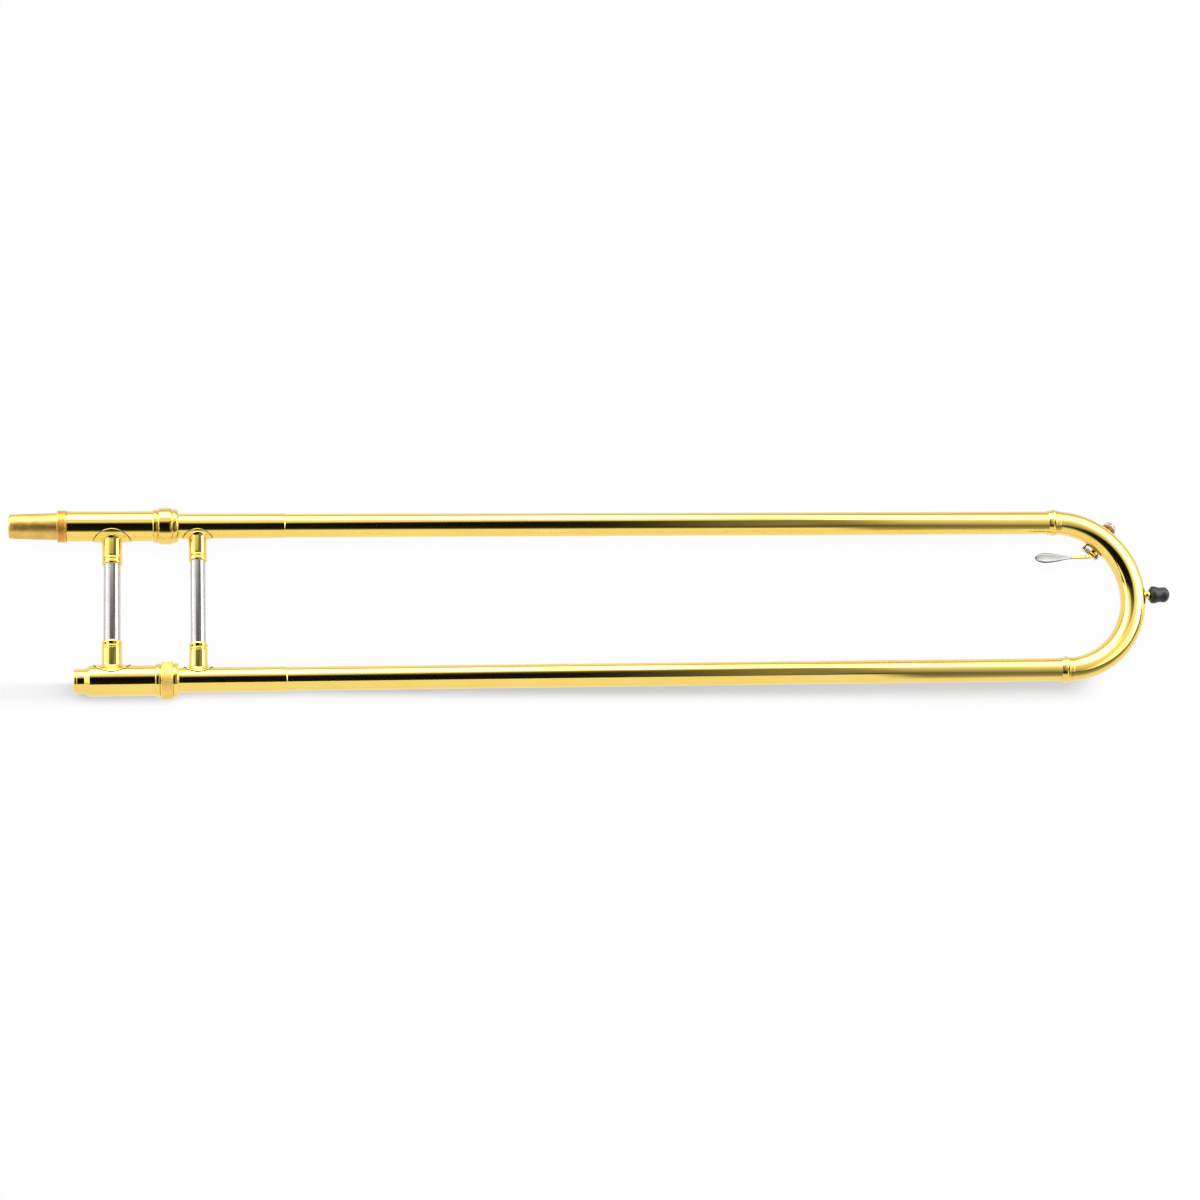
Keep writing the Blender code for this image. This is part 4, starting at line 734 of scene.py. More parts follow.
def crook_point(bend, round_tube, lift=0.0):
    """A point on the crook: the centre circle at bend, then radius + lift towards cos b outward + sin b up.

    The tube's radius swells with the cosine of the bend. Arguments may be arrays, in radians and millimetres.
    """
    radius = CROOK_TUBE + CROOK_SWELL * np.cos(bend) + lift
    reach = CROOK_RADIUS + radius * np.cos(round_tube)
    x = TIP_X + MM * (CROOK_X + reach * np.cos(bend))
    z = TUBE_Z + MM * radius * np.sin(round_tube)
    return np.stack(np.broadcast_arrays(x, MM * reach * np.sin(bend), z), axis=-1)


def crook_grid(rows=200, columns=88):
    """The crook's outside from one end to the other, then its inside back again."""
    bend = np.radians(np.linspace(-90.0, 90.0, rows))[:, None]
    round_tube = 2 * np.pi * np.arange(columns)[None] / columns
    inside = crook_point(bend[::-1], round_tube, -CROOK_WALL)
    return np.concatenate([crook_point(bend, round_tube), inside])


key_out = np.array((math.cos(KEY_ANGLE), math.sin(KEY_ANGLE), 0.0))
key_centre = np.array((TIP_X + MM * CROOK_X, 0.0, TUBE_Z)) + MM * CROOK_RADIUS * key_out
nipple_axis = math.cos(NIPPLE_DROP) * key_out - math.sin(NIPPLE_DROP) * np.array((0.0, 0.0, 1.0))


WATER_HOLE = 1.3


def cut_water_hole(crook):
    """Cuts the hole through the crook's wall with a plain bar as wide as the hole, which is then removed."""
    near, far = 0.6 * KEY_TUBE, 1.4 * KEY_TUBE
    bar = np.array([(near, 0.0), (near, WATER_HOLE), (far, WATER_HOLE), (far, 0.0)])
    points, faces = skin(turned(bar, key_centre, nipple_axis, 32), ring=False)
    mesh = bpy.data.meshes.new("water_hole_cutter")
    mesh.from_pydata(points.tolist(), [], [list(dict.fromkeys(face)) for face in faces.tolist()])
    cutter = bpy.data.objects.new("water_hole_cutter", mesh)
    bpy.context.scene.collection.objects.link(cutter)
    modifier = crook.modifiers.new("water_hole", "BOOLEAN")
    modifier.operation = "DIFFERENCE"
    modifier.solver = "EXACT"
    modifier.object = cutter
    ready = crook.evaluated_get(bpy.context.evaluated_depsgraph_get())
    whole = bpy.data.meshes.new_from_object(ready)
    crook.modifiers.clear()
    crook.data = whole
    bpy.data.objects.remove(cutter)


crook_brass = lacquered("crook_lacquered_brass", (0.955, 0.71, 0.18), (0.925, 0.665, 0.15), (0.05, 0.105),
                        1.2e-6, (1.0, 1.0, 1.0), 31.0)
crook = piece("crook", crook_brass, "outer_slide", skin(crook_grid()))
cut_water_hole(crook)


# Water key: nipple, cup and cork.
# The nipple is a short brass tube soldered round the water hole; the key's cork seals its rim.
# The cup that holds the cork is a deep nickel silver cap with a domed back and a slot down its top.
NIPPLE = [
    (KEY_TUBE - 2.2, WATER_HOLE, 0.05), (KEY_TUBE - 2.2, 3.9, 0.05), (KEY_TUBE + 0.15, 3.7, 0.2),
    (KEY_TUBE + 0.6, 3.0, 0.35), (KEY_TUBE + 1.5, 2.95, 0.2), (KEY_TUBE + 1.75, 3.2, 0.12),
    (KEY_TUBE + 2.1, 3.15, 0.12), (KEY_TUBE + 2.1, WATER_HOLE, 0.15),
]
turned_piece("water_key_nipple", ferrule_brass, "outer_slide", NIPPLE, key_centre, nipple_axis, 64)

CORK_FACE = KEY_TUBE + 2.4
CORK_RADIUS = 4.6
CORK_BACK = CORK_FACE + 2.6
KEY_CORK = [(CORK_FACE, 0.0, 0.0), (CORK_FACE, CORK_RADIUS, 0.45), (CORK_BACK, CORK_RADIUS, 0.2),
            (CORK_BACK, 0.0, 0.0)]
piece("water_key_cork", cork, "water_key",
      skin(turned(eased(KEY_CORK, closed=False), key_centre, nipple_axis, 64), ring=False))

CUP_FRONT = CORK_FACE + 1.2
CUP_SHOULDER = CORK_FACE + 3.7
CUP_RADIUS = 5.2


def cup_grid():
    """The cup's profile spun, from the middle of its floor round the rim and over the domed back.

    The dome is (2.8 sin a, R (0.45 + 0.55 cos a)). A slot is sunk along the top of the wall, where the
    distance from the upright plane is under its half width, and runs out before the dome.
    """
    bulge = np.radians(np.linspace(0.0, 90.0, 16))
    dome = np.column_stack([CUP_SHOULDER + 2.8 * np.sin(bulge), CUP_RADIUS * (0.45 + 0.55 * np.cos(bulge))])
    floor = CORK_FACE + 2.7
    inside = eased([(floor, 0.0, 0.0), (floor, 4.66, 0.05), (CUP_FRONT, 4.66, 0.1),
                    (CUP_FRONT, CUP_RADIUS, 0.12), (CUP_FRONT + 0.4, CUP_RADIUS, 0.05)], closed=False)
    wall = np.column_stack([np.linspace(CUP_FRONT + 0.5, CUP_SHOULDER - 0.1, 9), np.full(9, CUP_RADIUS)])
    end = CUP_SHOULDER + 2.8
    back = np.array([(end + 0.06, 1.5), (end + 0.09, 0.7), (end + 0.1, 0.0)])
    grid = turned(np.vstack([inside, wall, dome, back]), (0.0, 0.0, 0.0), nipple_axis, 192)
    along = grid @ nipple_axis / MM
    side = np.cross(nipple_axis, (0.0, 0.0, 1.0))
    side = side / np.linalg.norm(side)
    top = np.cross(side, nipple_axis)
    across, height = np.abs(grid @ side) / MM, grid @ top / MM
    slot = risen(across, 0.36, -0.1) * (height > 5.0) * risen(along, CUP_SHOULDER - 0.5, -0.3)
    return key_centre + grid - (0.4 * MM * slot)[:, :, None] * top


cup_nickel = nickel("cup_nickel_silver", roughness=(0.08, 0.16), grain=(1.0, 1.0, 1.0), shift=3.0)
piece("water_key_cup", cup_nickel, "water_key", skin(cup_grid(), ring=False))


# Water key: saddle and pin.
# A small brass plate soldered inside the bend, with two round ears that hold the hinge pin.
# The pin is a steel screw with a slotted cheese head at one end.
HINGE_INSET = 11.2
HINGE_DROP = 4.5
EAR_X = (-4.0, 6.1)
SADDLE_HALF_LENGTH, SADDLE_HALF_WIDTH = 7.0, 2.6
key_along = np.array((-math.sin(KEY_ANGLE), math.cos(KEY_ANGLE), 0.0))
key_in = -key_out
key_up = np.array((0.0, 0.0, 1.0))
hinge = key_centre + MM * (HINGE_INSET * key_in - HINGE_DROP * key_up)


def from_hinge(points):
    """Points in the hinge's own axes, along the pin, inwards and up, carried to their place."""
    points = np.asarray(points, float)
    return hinge + MM * (points[..., :1] * key_along + points[..., 1:2] * key_in + points[..., 2:] * key_up)


def signed_power(value, power):
    """A value raised to a power, with its sign kept. Of cos and sin it gives a squared-off ellipse."""
    return np.sign(value) * np.abs(value) ** power


def saddle_plate():
    """A rounded rectangle in bend and tube angle, thickened off the crook: a superellipse, full between."""
    facing = math.pi + math.atan2(HINGE_DROP, HINGE_INSET)
    half_bend = SADDLE_HALF_LENGTH / (CROOK_RADIUS - KEY_TUBE)
    half_round = SADDLE_HALF_WIDTH / KEY_TUBE
    angle = 2 * np.pi * np.arange(64)[None] / 64
    u = signed_power(np.cos(angle), 0.35)
    v = signed_power(np.sin(angle), 0.45)
    share = np.array([0, 0.5, 0.98, 1, 1, 0.99, 0.96, 0.5, 0])[:, None]
    lift = np.array([-0.05, -0.05, -0.05, 0, 0.5, 0.66, 0.75, 0.75, 0.75])[:, None]
    return crook_point(KEY_ANGLE + share * u * half_bend, facing + share * v * half_round, lift)


def ear(place):
    """A flat tab from the plate to a round end about the pin: its outline is a tapering capsule."""
    reach = math.hypot(HINGE_INSET, HINGE_DROP)
    toward = np.array((HINGE_INSET, -HINGE_DROP)) / reach
    across = np.array((HINGE_DROP, HINGE_INSET)) / reach
    angle = 2 * np.pi * np.arange(48) / 48
    at_plate = np.cos(angle) < 0
    radius = np.where(at_plate, 2.5, 2.1)
    length = np.where(at_plate, -(reach - KEY_TUBE) - 0.3, 0.0)
    length = length + np.where(at_plate, 0.3, 1.0) * radius * np.cos(angle)
    outline = length[:, None] * toward + (radius * np.sin(angle))[:, None] * across
    depth = np.array([-0.6, -0.6, -0.58, -0.5, 0.5, 0.58, 0.6, 0.6])
    loops = stacked(outline, [0.0, 0.9, 0.97, 1.0, 1.0, 0.97, 0.9, 0.0])
    x = np.broadcast_to((place + depth)[:, None], loops.shape[:2])
    return from_hinge(np.stack([x, loops[:, :, 0], loops[:, :, 1]], axis=-1))


def merged(voxel):
    """Modifiers that melt a piece's skins into one casting, with soft fillets where they meet."""
    return [("REMESH", {"mode": "VOXEL", "voxel_size": voxel * MM, "use_smooth_shade": True}),
            ("SMOOTH", {"factor": 0.5, "iterations": 6})]


piece("water_key_saddle", ferrule_brass, "outer_slide", skin(saddle_plate(), ring=False),
      *(skin(ear(place), ring=False) for place in EAR_X), modifiers=merged(0.13))

pin_steel = nickel("pin_steel", (0.62, 0.62, 0.63), (0.50, 0.50, 0.51), (0.14, 0.26), (1.0, 1.0, 1.0), 5e-7,
                   8.0)
PIN_HEAD_END, PIN_HEAD_START, PIN_END = -5.8, -4.65, 7.1


def pin_grid():
    """The pin's profile spun about the hinge, with a straight slot sunk across the head."""
    face = [(PIN_HEAD_END, r) for r in np.linspace(0.0, 1.3, 12)]
    rest = eased([(PIN_HEAD_END, 1.3, 0.02), (PIN_HEAD_END, 1.7, 0.25), (PIN_HEAD_START, 1.7, 0.1),
                  (PIN_HEAD_START, 0.8, 0.05), (PIN_END, 0.8, 0.2), (PIN_END, 0.0, 0.0)], closed=False)
    grid = turned(np.vstack([face, rest[1:]]), (0.0, 0.0, 0.0), key_along, 96)
    along = grid @ key_along / MM
    across = np.abs(grid[:, :, 2]) / MM
    slot = risen(across, 0.26, -0.07) * (along < PIN_HEAD_END + 0.35)
    return hinge + grid + (0.5 * MM * slot)[:, :, None] * key_along


piece("water_key_pin", pin_steel, "outer_slide", skin(pin_grid(), ring=False))


# Water key: lever and finger touch.
# The lever is cast brass: a barrel on the pin, an arm to the touch, and a bent arm under the tube to the cup.
# The touch is a long spoon of nickel silver with a bevelled edge, silver soldered to its arm.
TOUCH_ANGLE = math.radians(41.3)
touch_way = np.array((math.cos(TOUCH_ANGLE), math.sin(TOUCH_ANGLE), 0.0))
touch_side = np.array((math.sin(TOUCH_ANGLE), -math.cos(TOUCH_ANGLE), 0.0))
TOUCH_ROOT = np.array((-4.2, 0.0, 0.2))
TOUCH_ARM = 16.0
TOUCH_LENGTH = 28.3
TOUCH_WIDEST = 0.72


def capped(loops, first, last):
    """The loops with one more at each end that has shrunk to a point."""
    ends = [np.broadcast_to(point, loops[0].shape) for point in (first, last)]
    return np.concatenate([[ends[0]], loops, [ends[1]]])


def swept_bar(path, half_width, half_thickness, wide):
    """A bar with rounded edges along a path. Each loop is a superellipse across the path.

    The path is filled in and smoothed, and wide is the direction its broad side keeps.
    """
    path = np.asarray(path, float)
    given = np.linspace(0.0, 1.0, len(path))
    fine = np.linspace(0.0, 1.0, 41)
    smooth = np.stack([np.interp(fine, given, path[:, k]) for k in range(3)], axis=1)
    for _ in range(3):
        smooth[1:-1] = (smooth[:-2] + 2 * smooth[1:-1] + smooth[2:]) / 4
    forward = np.gradient(smooth, axis=0)
    forward /= np.linalg.norm(forward, axis=1, keepdims=True)
    wide = np.asarray(wide, float)
    broad = wide - (forward @ wide)[:, None] * forward
    broad /= np.linalg.norm(broad, axis=1, keepdims=True)
    thick = np.cross(forward, broad)
    angle = 2 * np.pi * np.arange(40) / 40
    a = signed_power(np.cos(angle), 0.6)
    b = signed_power(np.sin(angle), 0.6)
    width = np.interp(fine, np.linspace(0, 1, len(half_width)), half_width)[:, None, None]
    loops = smooth[:, None] + broad[:, None] * a[None, :, None] * width
    loops = loops + thick[:, None] * b[None, :, None] * half_thickness
    return from_hinge(capped(loops, smooth[0], smooth[-1]))


def cup_arm_path():
    """From the hinge barrel down round the crook's tube, a little clear of it, and up to the cup."""
    centre = np.array((0.0, -HINGE_INSET, HINGE_DROP))
    radius = KEY_TUBE + 1.5
    around = np.radians([-38, -52, -66, -80, -94])
    more = np.array([1.3, 0.3, 0.0, 0.0, 0.0])
    ray = np.stack([0 * around, np.cos(around), np.sin(around)], axis=1)
    under = centre + (radius + more)[:, None] * ray
    out = np.array((0.0, -math.cos(NIPPLE_DROP), -math.sin(NIPPLE_DROP)))
    across = np.array((0.0, -math.sin(NIPPLE_DROP), math.cos(NIPPLE_DROP)))
    near_cup = centre + out * CORK_FACE - across * 6.4
    at_cup = centre + out * (CORK_FACE + 3.0) - across * 5.0
    path = np.vstack([(0.0, -0.3, -1.1), under, near_cup, at_cup])
    path[:, 0] = -1.2 * (1 - np.arange(len(path)) / (len(path) - 1))
    return path


hinge_barrel = eased([(-3.3, 0.9, 0.1), (-3.3, 1.9, 0.2), (1.2, 1.9, 0.2), (1.2, 0.9, 0.1)])
touch_arm = [(-1.9, 0.6, 0.2), (-0.7, 2.4, 0.25),
             *(TOUCH_ROOT + touch_way * d for d in (6.4, 11.0, TOUCH_ARM + 1.5))]
lever_brass = lacquered("lever_lacquered_brass", (0.93, 0.67, 0.15), (0.87, 0.59, 0.115), (0.08, 0.16),
                        1.2e-6, (1.0, 1.0, 1.0), 41.0)
piece("water_key_lever", lever_brass, "water_key", skin(turned(hinge_barrel, hinge, key_along, 64)),
      skin(swept_bar(touch_arm, (1.3, 1.25, 1.1, 1.0), 0.85, touch_side), ring=False),
      skin(swept_bar(cup_arm_path(), (1.9, 1.8, 1.9), 0.75, (1.0, 0.0, 0.0)), ring=False),
      modifiers=merged(0.14))


def touch_grid():
    """The spoon, and how much painted shade each of its points takes.

    Half the width rises by a cosine from the neck and ends in an ellipse. Each loop runs over the top and
    back under: s across, and up a flat top with steep edges, less a dish d (1 - s^2) that fades in from
    the neck, with the tip lifted slightly. The spoon is painted darker towards its tip and darker still at
    its rim and its end: painted shade.
    """
    t = np.concatenate([np.linspace(0.0, 0.9, 44), 0.9 + 0.1 * np.sin(np.linspace(0.1, np.pi / 2, 12))])
    blunt = np.sqrt(1 - risen(t, TOUCH_WIDEST, 1 - TOUCH_WIDEST) ** 2)
    widen = 0.5 - 0.5 * np.cos(np.pi * risen(t, 0, TOUCH_WIDEST))
    half = ((1.0 + 2.5 * widen) * blunt)[:, None]
    angle = 2 * np.pi * np.arange(72)[None] / 72
    s = signed_power(np.cos(angle), 0.85)
    edge = np.sign(np.sin(angle)) * np.clip(4.5 * (1 - np.abs(s)), 0.0, 1.0) ** 0.6
    dish = 0.05 * (1 - s ** 2) * widen[:, None] * blunt[:, None]
    lift = 0.35 * risen(t, 0.4, 0.6)[:, None] ** 2
    height = 0.42 * edge * np.clip(0.35 + 0.65 * blunt, 0, 1)[:, None] - dish + lift
    along = (TOUCH_ARM + 0.1 + TOUCH_LENGTH * 0.985 * t)[:, None]
    across = s * half
    grid = TOUCH_ROOT + along[..., None] * touch_way + across[..., None] * touch_side
    grid = grid + height[..., None] * np.array((0.0, 0.0, 1.0))
    rim = risen(np.abs(s), 0.8, 0.12) * (0.4 + 0.6 * widen[:, None])
    rim = np.maximum(rim, risen(t, 0.955, 0.03)[:, None])
    marks_and_painted_shade = np.clip(0.85 * rim + 0.42 * risen(t, 0.2, 0.8)[:, None], 0, 1)
    marks_and_painted_shade = np.concatenate([marks_and_painted_shade[:1], marks_and_painted_shade, marks_and_painted_shade[-1:]])
    return from_hinge(capped(grid, grid[0].mean(axis=0), grid[-1].mean(axis=0))), marks_and_painted_shade


# Painted shade: the touch's nickel is much darker than the rest, and darker still at its rim and tip.
touch_nickel = nickel("touch_nickel_silver", (0.40, 0.39, 0.38), (0.37, 0.36, 0.35), (0.12, 0.17),
                      (1.0, 0.35, 1.0), 3e-7, 12.0, dark=(0.12, 0.115, 0.11))
spoon, spoon_painted_shade = touch_grid()
piece("water_key_touch", touch_nickel, "water_key", skin(spoon, ring=False), tarnish_and_painted_shade=spoon_painted_shade)


# Water key spring.
# One length of round spring wire, curled three times about the pin, with a leg over the touch arm.
# The other leg runs down on to the saddle, and the spring holds the cork shut on the nipple.
WIRE = 0.3
PITCH = 0.95


def wire_path():
    """The spring's centre line: a leg, three turns n of a helix, x = x0 + p n, and the leg to the saddle."""
    start, coil, over = 1.6, 1.7, 1.7
    turns = np.linspace(0.0, 3.0, 85)
    turn = 2 * np.pi * turns
    helix = np.stack([start + PITCH * turns, coil * np.cos(turn), -coil * np.sin(turn)], axis=1)
    lead = np.array([(start, coil + 3.3, over), (start, coil + 2.0, over), (start, coil + 0.9, over),
                     (start, coil + 0.25, 0.86 * over), (start, coil, 0.5 * over)])
    end = helix[-1, 0]
    tail = np.array([(end, coil, -1.3), (end, 0.8 * coil, -2.0), (end, 0.4 * coil, -2.45),
                     (end, -0.3 * coil, -2.7), (end, -1.1 * coil, -2.6)])
    return np.vstack([lead, helix, tail])


def wire_grid(path, radius, sides=16):
    """A round wire along a path. One axis of its loops is the pin's, which the wire never follows."""
    forward = np.gradient(path, axis=0)
    forward /= np.linalg.norm(forward, axis=1, keepdims=True)
    pin = np.array((1.0, 0.0, 0.0))
    first = pin - (forward @ pin)[:, None] * forward
    first /= np.linalg.norm(first, axis=1, keepdims=True)
    second = np.cross(forward, first)
    angle = 2 * np.pi * np.arange(sides)[None, :, None] / sides
    loops = path[:, None] + radius * (np.cos(angle) * first[:, None] + np.sin(angle) * second[:, None])
    return from_hinge(capped(loops, path[0], path[-1]))


spring_steel = nickel("spring_steel", (0.66, 0.66, 0.67), (0.52, 0.52, 0.54), (0.10, 0.2), (1.0, 1.0, 1.0),
                      3e-7, 15.0)
BEND_START, BEND_END = 0.9, 2.3
bends = [tuple(map(float, from_hinge((0.0, inwards, 0.0)))) for inwards in (BEND_START, BEND_END)]
piece("water_key_spring", spring_steel, ("outer_slide", "water_key", *bends),
      skin(wire_grid(wire_path(), WIRE), ring=False))


# Bumper.
# A brass ball soldered to the end of the crook carries a stem, and a soft black rubber tip is pushed over it.
# The slide is stood on this tip, so its nose is scuffed grey.
STUD_FACE = CROOK_X + CROOK_RADIUS + CROOK_TUBE + CROOK_SWELL
BALL = STUD_FACE + 2.25
sweep = np.radians(np.linspace(140.0, 36.0, 25))
ball_rows = np.column_stack([BALL + 2.9 * np.cos(sweep), 2.9 * np.sin(sweep)])
STUD = np.vstack([[(STUD_FACE - 0.15, 0.0), (STUD_FACE - 0.15, 2.35), (STUD_FACE + 0.05, 2.2)], ball_rows,
                  [(BALL + 9.0, 1.7), (BALL + 9.2, 1.5), (BALL + 9.2, 0.0)]])
MIDDLE = np.array((TIP_X, 0.0, TUBE_Z))
piece("bumper_stud", ferrule_brass, "outer_slide", skin(turned(STUD, MIDDLE, columns=64), ring=False))


def rubber_finish():
    """Moulded black rubber: soft sheen, fine pitting, greyed where it has stood on the floor."""
    material, tree, shader, here = new_finish("bumper_black_rubber", {})
    pits = noise(tree, here, 2600.0, 3.0, 0.6, 0.0)
    dust = noise(tree, here, 700.0, 4.0, 0.65, 3.0)
    nose = spread(tree, on_axis(tree, here, "X"), 0.0, 1.0, TIP_X + (BALL + 12.5) * MM,
                  TIP_X + (BALL + 15.5) * MM)
    scuff = combined(tree, "MULTIPLY", nose, spread(tree, dust, 0.0, 0.8, 0.4, 0.6))
    dusty = spread(tree, dust, 0.0, 0.6, 0.45, 0.7)
    base = blended(tree, dusty, (0.008, 0.0075, 0.0085), (0.016, 0.0155, 0.016))
    base = blended(tree, scuff, base, (0.075, 0.072, 0.07))
    painted(tree, shader, base, spread(tree, pits, 0.34, 0.5))
    relief(tree, shader, pits, 1.5e-5)
    return material


def bumper_rows():
    """Outline: a mouth lip, a swell, a waist and a rounded nose, as bulges and a cap of the length."""
    t = np.linspace(0.0, 1.0, 64)
    bulge = 1.2 * np.exp(-((t - 0.2) / 0.22) ** 2) + 0.5 * np.exp(-((t - 0.72) / 0.16) ** 2)
    cap = np.sqrt(1 - risen(t, 0.74, 0.26) ** 2)
    lead = np.clip(0.72 + 2.7 * t, 0, 1)
    rows = np.column_stack([BALL + 1.3 + 14.2 * t, (4.8 + bulge) * cap * lead])
    rows[-1, 1] = 0.0
    bore = [(BALL + 9.5, 0.0), (BALL + 9.5, 2.0), (BALL + 3.2, 2.0), (BALL + 2.2, 2.55), (BALL + 1.45, 2.9)]
    return np.vstack([bore, rows])


piece("rubber_bumper", rubber_finish(), "outer_slide",
      skin(turned(bumper_rows(), MIDDLE, columns=96), ring=False))


# Floor.
# A plain white table top. The slide's soft shadow along the player's side is cast by the light from behind,
# but it shows only in a painted band, none inside the loop, that drifts outwards, weakens along the slide
# and ends before the crook.
def blank(name, output="ShaderNodeOutputMaterial"):
    """A material or world with nothing but its output, and the place of each point as three numbers."""
    world = output == "ShaderNodeOutputWorld"
    made = (bpy.data.worlds if world else bpy.data.materials).new(name)
    made.use_nodes = True
    tree = made.node_tree
    tree.nodes.clear()
    out = tree.nodes.new(output)
    where = tree.nodes.new("ShaderNodeTexCoord")
    split = tree.nodes.new("ShaderNodeSeparateXYZ")
    tree.links.new(where.outputs["Generated" if world else "Object"], split.inputs["Vector"])
    return made, tree, out.inputs["Surface"], split.outputs


def ramped(tree, value, start, end, low=0.0, high=1.0, soft=False):
    """Low before start, high after end, and in between by a straight line or a smooth step."""
    ramp = tree.nodes.new("ShaderNodeMapRange")
    if soft:
        ramp.interpolation_type = "SMOOTHSTEP"
    for key, number in (("From Min", start), ("From Max", end), ("To Min", low), ("To Max", high)):
        ramp.inputs[key].default_value = number
    tree.links.new(value, ramp.inputs["Value"])
    return ramp.outputs["Result"]


def first_bounce(tree, ray, level):
    """The level as the metal shows it to the camera, and a small part of it where metal lights the table."""
    return combined(tree, "MULTIPLY", level, ramped(tree, ray.outputs["Diffuse Depth"], 0.0, 1.0, 1.0, 0.12))


def shader_choice(tree, share, first, second):
    """The first shader where share is 0, the second where it is 1."""
    choice = tree.nodes.new("ShaderNodeMixShader")
    tree.links.new(share, choice.inputs["Fac"])
    tree.links.new(first, choice.inputs[1])
    tree.links.new(second, choice.inputs[2])
    return choice.outputs[0]


def glow(tree, strength):
    """White light of one strength, a number or another node's output."""
    lit = tree.nodes.new("ShaderNodeEmission")
    if isinstance(strength, float):
        lit.inputs["Strength"].default_value = strength
    else:
        tree.links.new(strength, lit.inputs["Strength"])
    return lit.outputs[0]


def floor_material():
    """White to the camera apart from the shadow, a band in front of the slide that leaves it to the right.

    The band is matt and takes the slide's shade, but its place and strength are a painted mask; the rest is
    nearly all glow. To reflections the table is white near the slide and greyer behind it: painted shade.
    """
    material, tree, surface, place = blank("white_table")
    # Painted shadow band: a mask of where the table is matt enough to show the slide's shade.
    x = combined(tree, "SUBTRACT", place["X"], float(TIP_X))
    drift = ramped(tree, x, 0.189, 0.632, 0.0, 0.011)
    barrel = ramped(tree, x, 0.10, 0.115, 0.003, 0.0, soft=True)
    from_slide = combined(tree, "ADD", combined(tree, "ADD", place["Y"], drift), barrel)
    outer = ramped(tree, from_slide, -0.0545, -0.065, 1.0, 0.0, soft=True)
    inner = ramped(tree, place["Y"], -0.049, -0.053, soft=True)
    short_of_crook = ramped(tree, x, 0.715, 0.745, 1.0, 0.0, soft=True)
    ends = combined(tree, "MULTIPLY", ramped(tree, x, 0.2, 0.6, 0.68, 0.52), short_of_crook)
    shade = combined(tree, "MULTIPLY", combined(tree, "MULTIPLY", outer, inner), ends)
    matt = tree.nodes.new("ShaderNodeBsdfDiffuse")
    tree.links.new(ramped(tree, shade, 0.0, 1.0, 0.06, 1.0), matt.inputs["Color"])
    seen = tree.nodes.new("ShaderNodeAddShader")
    tree.links.new(matt.outputs[0], seen.inputs[0])
    tree.links.new(glow(tree, ramped(tree, shade, 0.0, 1.0, 0.95, 0.0)), seen.inputs[1])
    ray = tree.nodes.new("ShaderNodeLightPath")
    # Painted shade: reflections see the table greyer behind the slide.
    mirrored = glow(tree, first_bounce(tree, ray, ramped(tree, place["Y"], 0.09, 0.22, 0.95, 0.62)))
    tree.links.new(shader_choice(tree, ray.outputs["Is Glossy Ray"], seen.outputs[0], mirrored), surface)
    return material


def sheet(name, corners, material):
    """One flat four-cornered sheet of the stage."""
    mesh = bpy.data.meshes.new(name)
    mesh.from_pydata(corners, [], [(0, 1, 2, 3)])
    mesh.materials.append(material)
    made = bpy.data.objects.new(name, mesh)
    bpy.context.scene.collection.objects.link(made)
    return made


FLOOR_Z = cad_box[0][2] - 0.05 * MM
FLOOR_HALF = 6
sheet("floor", [(x * FLOOR_HALF, y * FLOOR_HALF, FLOOR_Z) for x, y in ((-1, -1), (1, -1), (1, 1), (-1, 1))],
      floor_material())


# Light tent.
# Glowing white sheets that only reflections see, a painted reflection of a cloth tent round the slide:
# a roof with a wide opening, through which the dark room shows as the black stripe in the metal, and a low
# front wall.
ROOF_Z = 0.58
FRONT_Y, FRONT_TOP = -0.16, 0.15


def grey_steps(tree, value, low, high, stops, most=1.0):
    """A grey that follows (value, level) stops, as a share of most."""
    ramp = tree.nodes.new("ShaderNodeValToRGB")
    while len(ramp.color_ramp.elements) < len(stops):
        ramp.color_ramp.elements.new(0.5)
    for element, (number, level) in zip(ramp.color_ramp.elements, stops):
        element.position = (number - low) / (high - low)
        element.color = (level / most, level / most, level / most, 1.0)
    tree.links.new(ramped(tree, value, low, high), ramp.inputs["Fac"])
    return ramp.outputs["Color"]


def cloth(tree, surface, level, cover):
    """Glowing cloth where cover is 1, nothing where it is 0."""
    clear = tree.nodes.new("ShaderNodeBsdfTransparent")
    ray = tree.nodes.new("ShaderNodeLightPath")
    lit = glow(tree, first_bounce(tree, ray, level))
    tree.links.new(shader_choice(tree, cover, clear.outputs[0], lit), surface)


